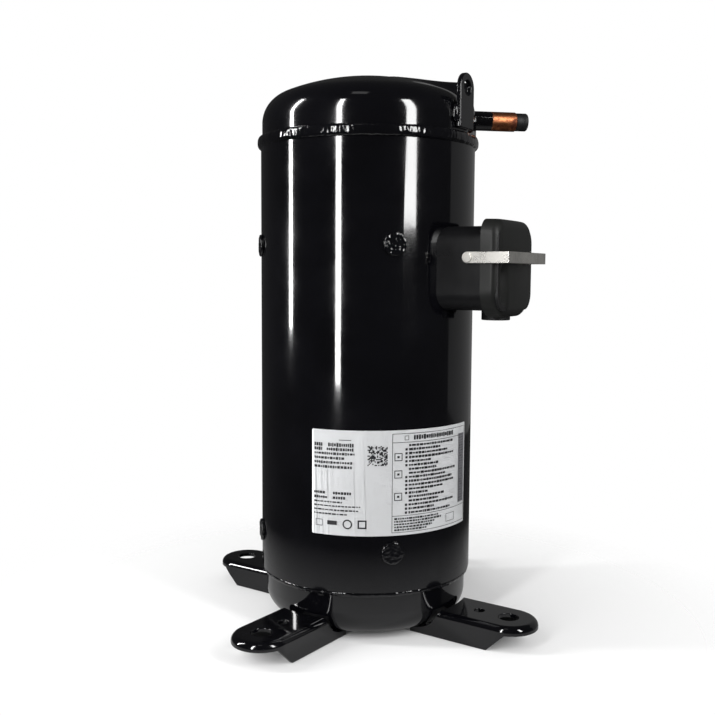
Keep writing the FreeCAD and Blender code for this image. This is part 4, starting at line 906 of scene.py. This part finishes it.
class COMPRESSOR_OT_cover(bpy.types.Operator):
    """Mould the terminal cover: rounded front, crowned face and a shallow scoop"""

    bl_idname = "compressor.cover"
    bl_label = "Terminal Cover"

    def execute(self, context):
        look = context.scene.compressor_cover
        form = bmesh.new()
        bmesh.ops.create_cube(form, size=1.0)
        transform(form, Matrix.Translation(((look.rim + look.front) / 2, 0, 0))
                  @ Matrix.Diagonal((look.front - look.rim, 2 * look.half_width, 2 * look.half_height, 1)))
        for side, radius in ((1, look.upper_corner), (-1, look.lower_corner)):
            rounded(form, long_edges(form, look, side), radius, 12, clamp=False)
        rim = [edge for edge in form.edges if all(vert.co.x > look.front - 1e-6 for vert in edge.verts)]
        rounded(form, rim, look.fillet, 7, clamp=False)
        back = [face for face in form.faces if all(vert.co.x < look.rim + 1e-6 for vert in face.verts)]
        bmesh.ops.delete(form, geom=back, context="FACES")
        for axis, half in ((1, look.half_width), (2, look.half_height)):
            normal = Vector((0, 0, 0))
            normal[axis] = 1
            for i in range(1, 2 * COVER_CUTS):
                cut(form, normal * half * (i / COVER_CUTS - 1), normal, 1e-6)
        for vert in form.verts:
            across, up = vert.co.y / look.half_width, vert.co.z / look.half_height
            ahead = min(1.0, max(0.0, (vert.co.x - look.front + look.fillet) / look.fillet))
            bow = (1 - across * across) * (1 - up * up)
            aside = (across + SCOOP_ASIDE - SCOOP_BOW * up * up) / SCOOP_WIDTH
            near = math.exp(-aside ** 2) * math.exp(-((up + SCOOP_BELOW) / SCOOP_HEIGHT) ** 4)
            depth = (vert.co.x - look.rim) / (look.front - look.rim)
            vert.co.x += ahead * (look.crown * (bow - 1) - look.scoop * near)
            vert.co.y *= 1 - look.draft * depth * abs(up) ** (3 if up > 0 else 2)
            vert.co.z *= 1 - 0.3 * look.draft * depth * abs(across) ** 3
        bmesh.ops.solidify(form, geom=form.faces[:], thickness=look.wall)
        transform(form, Matrix.Translation((0, 0, look.middle)))
        notched(form, look)
        transform(form, box_frame(look))
        crease(form, 40)
        finish(form, "moulded_cover", "casing", ["terminal_cover"],
               [moulded("dark moulded plastic", look.tint, 0.38, 0.5, 0.00002, grain=1600.0, level=0.24)],
               weighted=True)
        return {"FINISHED"}


class COMPRESSOR_OT_strap(bpy.types.Operator):
    """Round the zinc plated strap and the pins that it turns on"""

    bl_idname = "compressor.strap"
    bl_label = "Cover Strap"

    def execute(self, context):
        width = context.scene.compressor_sheet.strap_edge
        for node, name, body in (("cover_strap", "spring_strap", "strap"), ("strap_pins", "strap_pivots", "casing")):
            finish(softened(node, width), name, body, [node], [zinc()], weighted=True)
        return {"FINISHED"}


class COMPRESSOR_OT_outlet(bpy.types.Operator):
    """Round the edges of the rubber cable outlet"""

    bl_idname = "compressor.outlet"
    bl_label = "Cable Outlet"

    def execute(self, context):
        form = softened("cable_outlet", context.scene.compressor_sheet.outlet_edge)
        finish(form, "outlet_grommet", "casing", ["cable_outlet"], [stopper_rubber()],
               weighted=True)
        return {"FINISHED"}


# Label

def wrapped(form, look, lift):
    """Bends a flat form, X along the label and Y up it, around the shell."""
    for vert in form.verts:
        angle = look.start + vert.co.x / SHELL_RADIUS
        radius = SHELL_RADIUS + lift + vert.co.z
        vert.co = Vector((radius * math.cos(angle), radius * math.sin(angle), look.bottom + vert.co.y))


def sliced(form, left, right, step=0.0016):
    """Cuts a flat form across so that it can bend."""
    place = left + step
    while place < right - step / 4:
        cut(form, (place, 0, 0), (1, 0, 0), 1e-7)
        place += step


class Print:
    """Collects flat shapes in millimetres from the label's lower left corner."""

    def __init__(self):
        self.form = bmesh.new()
        self.chance = random.Random(11)

    def patch(self, left, bottom, right, top, ink=1):
        pieces = max(1, math.ceil((right - left) / 2.5))
        made = bmesh.ops.create_grid(self.form, x_segments=pieces, y_segments=1, size=0.5)["verts"]
        place = Matrix.Translation(((left + right) / 2000, (bottom + top) / 2000, 0))
        bmesh.ops.transform(self.form, verts=made,
                            matrix=place @ Matrix.Diagonal(((right - left) / 1000, (top - bottom) / 1000, 1, 1)))
        for face in {face for vert in made for face in vert.link_faces}:
            face.material_index = ink

    def outline(self, left, bottom, right, top, line=0.35, ink=1):
        self.patch(left, bottom, right, bottom + line, ink)
        self.patch(left, top - line, right, top, ink)
        self.patch(left, bottom + line, left + line, top - line, ink)
        self.patch(right - line, bottom + line, right, top - line, ink)

    def row(self, left, middle, right, height=1.2, word=(1.2, 4.5), gap=0.9):
        """A row of plain dashes of uneven length."""
        place = left
        while place < right - 0.8:
            end = min(right, place + self.chance.uniform(*word))
            tall = height * self.chance.uniform(0.5, 0.78)
            self.patch(place, middle - tall, end, middle + tall)
            place = end + gap

    def hoop(self, across, up, radius, line=0.5, sides=28):
        made = bmesh.ops.create_circle(self.form, cap_ends=False, segments=sides, radius=radius / 1000)["verts"]
        edges = list({edge for vert in made for edge in vert.link_edges})
        inner = [item for item in bmesh.ops.extrude_edge_only(self.form, edges=edges)["geom"]
                 if isinstance(item, bmesh.types.BMVert)]
        bmesh.ops.scale(self.form, verts=inner, vec=((radius - line) / radius,) * 3)
        bmesh.ops.translate(self.form, verts=made + inner, vec=(across / 1000, up / 1000, 0))
        for face in {face for vert in inner for face in vert.link_faces}:
            face.material_index = 1


def left_panel(page):
    """Rows of dashes, a plain checked square and four plain shapes."""
    page.patch(22.0, 73.2, 31.5, 73.7)
    for left, up, right, height in ((2.2, 69.6, 9.5, 2.0), (13.5, 69.6, 33.5, 2.0), (2.2, 66.2, 8.6, 1.7),
                                    (12.4, 66.2, 33.2, 1.7)):
        page.row(left, up, right, height, (0.9, 1.6), 0.5)
    for i in range(4):
        page.row(2.2, 62.8 - 3.4 * i, (34.0, 27.5, 33.0, 32.0)[i], 1.35, (0.9, 2.4), 0.6)
    cells = 17
    step = 15.2 / cells
    for i in range(cells):
        for j in range(cells):
            if page.chance.random() < 0.52:
                page.patch(43.8 + i * step, 54.2 + j * step, 43.8 + (i + 1) * step, 54.2 + (j + 1) * step)
    for up, ends in ((32.6, (2.0, 11.5, 17.6, 31.5)), (29.0, (2.0, 12.6, 17.4, 27.0))):
        page.row(ends[0], up, ends[1], 1.4, (0.9, 2.0), 0.5)
        page.row(ends[2], up, ends[3], 1.4, (0.9, 2.0), 0.5)
    for i, end in enumerate((24.5, 38.5, 37.0, 28.5)):
        page.row(2.0, 25.6 - 3.1 * i, end, 0.8, (1.0, 3.2), 0.7)
    page.outline(3.2, 6.6, 9.2, 11.8, 0.5, 2)
    page.patch(13.0, 8.0, 20.6, 11.2)
    page.hoop(28.8, 9.0, 3.7, 1.0)
    page.outline(36.6, 5.8, 43.4, 12.4, 1.1)


def right_panel(page):
    """A framed panel of dash rows with a header, a column of plain shapes, a band and a foot."""
    left, right = 62.6, 138.8
    page.outline(left, 2.2, right, 78.4)
    page.patch(left, 71.4, right, 71.75)
    page.patch(left, 15.0, right, 15.35)
    page.outline(72.4, 73.2, 75.8, 76.6, 0.35)
    page.row(80.0, 75.0, 121.5, 2.5, (1.2, 2.0), 0.6)
    for up in (60.5, 47.2, 30.0):
        page.outline(64.4, up - 3.0, 70.6, up + 3.0, 0.55)
        page.patch(66.6, up - 0.8, 68.4, up + 0.8)
    ends = (120, 105, 113, 121, 96, 103, 101, 124, 112, 119, 122, 108, 93, 110, 104, 121, 99, 117)
    for i, end in enumerate(ends):
        up = 69.2 - 3.05 * i
        if i % 7 not in (0, 6):
            page.patch(73.0, up - 0.9, 74.8, up + 0.9)
        page.row(76.0, up, end, 1.25, (0.8, 3.4), 0.55)
    page.patch(128.8, 17.4, 137.6, 72.8, 2)
    for i in range(26):
        page.row(129.6, 19.0 + 2.1 * i, 136.8, 0.8, (1.2, 3.0), 0.6)
    for i in range(5):
        page.row(64.6, 12.9 - 2.15 * i, (104, 107, 101, 98, 92)[i], 1.0, (0.8, 3.0), 0.6)
    page.outline(112.4, 5.0, 123.0, 11.4, 0.35)


FILM_GAP = 0.00006  # between the shell and the film
FILM_SLACK = 0.0001  # how much thinner the film is than its space
PRINT_LIFT = 0.00002  # of the print over that space


class COMPRESSOR_OT_label(bpy.types.Operator):
    """Wrap the printed film around the shell, with plain shapes for its print"""

    bl_idname = "compressor.label"
    bl_label = "Label"

    def execute(self, context):
        look = context.scene.compressor_label
        width = look.sweep * SHELL_RADIUS
        form = bmesh.new()
        bmesh.ops.create_grid(form, x_segments=1, y_segments=1, size=0.5)
        transform(form, Matrix.Translation((width / 2, look.height / 2, 0)) @ Matrix.Diagonal((width, look.height,
                                                                                            1, 1)))
        rounded(form, form.verts[:], look.corner, 4, affect="VERTICES")
        sliced(form, 0, width)
        wrapped(form, look, FILM_GAP)
        bmesh.ops.solidify(form, geom=form.faces[:], thickness=-(look.film - FILM_SLACK))
        bmesh.ops.recalc_face_normals(form, faces=form.faces)
        page = Print()
        left_panel(page)
        right_panel(page)
        wrapped(page.form, look, look.film + PRINT_LIFT)
        for face in page.form.faces:
            face.normal_update()
            if face.normal.dot(Vector((*face.calc_center_median().xy, 0))) < 0:
                face.normal_flip()
        sheet = meshed(page.form, "print")
        form.from_mesh(sheet)
        bpy.data.meshes.remove(sheet)
        crease(form, 50)
        finish(form, "printed_label", "casing", ["label"],
               [printed("white film", look.paper, 0.6, 0.72), printed("dark ink", look.ink, 0.35, 0.5),
                printed("grey ink", look.pale_ink, 0.35, 0.5)])
        return {"FINISHED"}


# Finishes of the frame's own pieces

class COMPRESSOR_OT_finishes(bpy.types.Operator):
    """Give every piece that keeps its CAD shape the finish of the real one"""

    bl_idname = "compressor.finishes"
    bl_label = "Finishes"

    def execute(self, context):
        scene = context.scene
        by_slot = {
            "black_paint": shell_enamel(scene),
            "weld": weld_enamel(scene),
            "box_steel": box_enamel(scene),
            "black_rubber": stopper_rubber(),
            "zinc_strap": zinc(),
            "steel": metal("machined steel", (0.56, 0.57, 0.58), 0.24, 0.42, "lathe", 0.00001, rings=1100.0),
            "iron": metal("machined cast iron", (0.27, 0.27, 0.28), 0.42, 0.62, "grain", 0.00006, grain=700.0),
            "bearing": metal("bearing bronze", (0.60, 0.42, 0.20), 0.28, 0.46, "lathe", 0.00001, rings=900.0),
            "lamination": laminated("laminated steel", (0.36, 0.37, 0.39)),
            "winding": wound("enamelled winding", (0.62, 0.24, 0.09)),
            "aluminium": metal("cast aluminium", (0.74, 0.75, 0.77), 0.34, 0.5, "grain", 0.00004, grain=800.0),
            "ptfe": moulded("filled polymer", (0.74, 0.70, 0.60), 0.35, 0.5, 0.00002),
            "glass_seal": sealing_glass("sealing glass"),
            "plastic": moulded("cream moulding", (0.62, 0.56, 0.42), 0.32, 0.46, 0.00002, grain=1200.0),
            "brass_screw": metal("plain brass", (0.72, 0.50, 0.20), 0.2, 0.36, "lathe", 0.00001, rings=1500.0),
            "magnet": moulded("ferrite", (0.05, 0.05, 0.055), 0.45, 0.6, 0.00003, grain=1100.0),
        }
        for part in frame["record"]["subparts"]:
            if part["material_slot"] not in by_slot:
                continue
            mesh = frame["nodes"][part["node"]].data
            mesh.materials.clear()
            mesh.materials.append(by_slot[part["material_slot"]])
        return {"FINISHED"}


# Stage

def pale_floor(look):
    """A pale floor that thins out towards its rim."""
    material, tree, shader, place = blank("pale floor")
    grain = cloudy(tree, place, 60.0, 3.0)
    drive(tree, shader, "Base Color", between(tree, grain, lighter(look.floor_tint, 0.985),
                                              look.floor_tint))
    shader.inputs["Roughness"].default_value = 0.9
    distance = add(tree, "VectorMath", {0: place}, operation="LENGTH")
    near = ranged(tree, distance.outputs["Value"], 0.12, 0.34, 1.0, 0.0)
    mirrored = ranged(tree, add(tree, "LightPath").outputs["Is Glossy Ray"], 0.0, 1.0, 1.0, 0.5)
    drive(tree, shader, "Alpha", add(tree, "Math", {0: near, 1: mirrored}, operation="MULTIPLY").outputs[0])
    return material


def strip_light(name, angle, distance, width, height, middle, power):
    """A soft upright panel that faces the compressor from one direction."""
    place = Vector((distance * math.cos(math.radians(angle)), distance * math.sin(math.radians(angle)), middle))
    panel(name, place, Vector((0, 0, middle)), width, height, power)


def panel(name, place, target, width, height, power):
    """A soft rectangular light that faces a target."""
    lamp = bpy.data.lights.new(name, "AREA")
    lamp.shape = "RECTANGLE"
    lamp.size, lamp.size_y = width, height
    lamp.energy = power
    facing = (target - place).to_track_quat("-Z", "Y").to_matrix().to_4x4()
    linked(name, lamp).matrix_world = Matrix.Translation(place) @ facing


CAMERA_PLACE = (-0.1427, -0.7650, 0.2674)
CAMERA_TURNS = (("Z", -10.004), ("X", 84.874), ("Z", 0.307))  # heading, pitch and roll in degrees
SENSOR_WIDTH = 36.0
LIGHT_DISTANCE = 1.2


class COMPRESSOR_OT_stage(bpy.types.Operator):
    """Set up the pale floor, the soft studio lights and the camera"""

    bl_idname = "compressor.stage"
    bl_label = "Stage"

    def execute(self, context):
        look = context.scene.compressor_stage
        form = bmesh.new()
        bmesh.ops.create_circle(form, cap_ends=True, segments=96, radius=look.floor_radius)
        transform(form, Matrix.Translation((0, 0, FLOOR - 0.0002)))
        floor = linked("floor", meshed(form, "floor"))
        floor.data.materials.append(pale_floor(look))

        camera = bpy.data.cameras.new("camera")
        camera.lens, camera.sensor_width = look.lens, SENSOR_WIDTH
        holder = linked("camera", camera)
        aim = Matrix.Translation(CAMERA_PLACE)
        for axis, degrees in CAMERA_TURNS:
            aim = aim @ Matrix.Rotation(math.radians(degrees), 4, axis)
        holder.matrix_world = aim
        context.scene.camera = holder
        context.scene.view_settings.view_transform = "Standard"

        strip_light("left strip", -185.6, LIGHT_DISTANCE, 0.085, 1.2, 0.76, 16)
        strip_light("middle strip", -129.6, LIGHT_DISTANCE, 0.11, 1.3, 0.70, 13)
        strip_light("key panel", -56.2, LIGHT_DISTANCE, 0.225, 1.0, 0.857, 12)
        strip_light("right panel", 34.0, 1.6, 2.6, 1.5, 0.62, 1.7)
        panel("front ceiling light", Vector((-0.324, -0.721, 1.9)), Vector((0, -0.08, 0.4)), 0.36, 0.26, 0.22)

        world = bpy.data.worlds.new("studio")
        context.scene.world = world
        world.use_nodes = True
        tree = world.node_tree
        tree.nodes.clear()
        path = add(tree, "LightPath")
        seen, soft, dark = [add(tree, "Background", {"Color": (1, 1, 1, 1), "Strength": strength}).outputs[0]
                            for strength in (look.backdrop, look.fill, look.mirrored)]
        around = add(tree, "MixShader", {0: path.outputs["Is Glossy Ray"], 1: soft, 2: dark})
        shown = add(tree, "MixShader", {0: path.outputs["Is Camera Ray"], 1: around.outputs[0], 2: seen})
        add(tree, "OutputWorld", {"Surface": shown.outputs[0]})
        return {"FINISHED"}


# Add-on

SETTINGS = {
    "compressor_enamel": EnamelLook,
    "compressor_cap": CapSizes,
    "compressor_welds": WeldSizes,
    "compressor_sheet": SheetSizes,
    "compressor_tubes": TubeSizes,
    "compressor_cover": CoverSizes,
    "compressor_label": LabelSizes,
    "compressor_stage": StageSizes,
}

STEPS = [
    COMPRESSOR_OT_finishes,
    COMPRESSOR_OT_upper_cap,
    COMPRESSOR_OT_seam_welds,
    COMPRESSOR_OT_short_welds,
    COMPRESSOR_OT_feet,
    COMPRESSOR_OT_lifting_lug,
    COMPRESSOR_OT_tubes,
    COMPRESSOR_OT_stoppers,
    COMPRESSOR_OT_fence,
    COMPRESSOR_OT_cover,
    COMPRESSOR_OT_strap,
    COMPRESSOR_OT_outlet,
    COMPRESSOR_OT_label,
    COMPRESSOR_OT_stage,
]


class COMPRESSOR_PT_panel(bpy.types.Panel):
    """Lists the steps and their sizes"""

    bl_idname = "COMPRESSOR_PT_panel"
    bl_label = "Scroll Compressor"
    bl_space_type = "VIEW_3D"
    bl_region_type = "UI"
    bl_category = "Compressor"

    def draw(self, context):
        for step in STEPS:
            self.layout.operator(step.bl_idname)
        for key, group in SETTINGS.items():
            box = self.layout.box()
            for name in group.__annotations__:
                box.prop(getattr(context.scene, key), name)


def register():
    for group in SETTINGS.values():
        bpy.utils.register_class(group)
    for key, group in SETTINGS.items():
        setattr(bpy.types.Scene, key, PointerProperty(type=group))
    for step in STEPS:
        bpy.utils.register_class(step)
    bpy.utils.register_class(COMPRESSOR_PT_panel)


def unregister():
    bpy.utils.unregister_class(COMPRESSOR_PT_panel)
    for step in reversed(STEPS):
        bpy.utils.unregister_class(step)
    for key in SETTINGS:
        delattr(bpy.types.Scene, key)
    for group in SETTINGS.values():
        bpy.utils.unregister_class(group)


def main():
    register()
    for step in STEPS:
        getattr(bpy.ops.compressor, step.bl_idname.split(".")[1])()


if __name__ == "__main__":
    main()
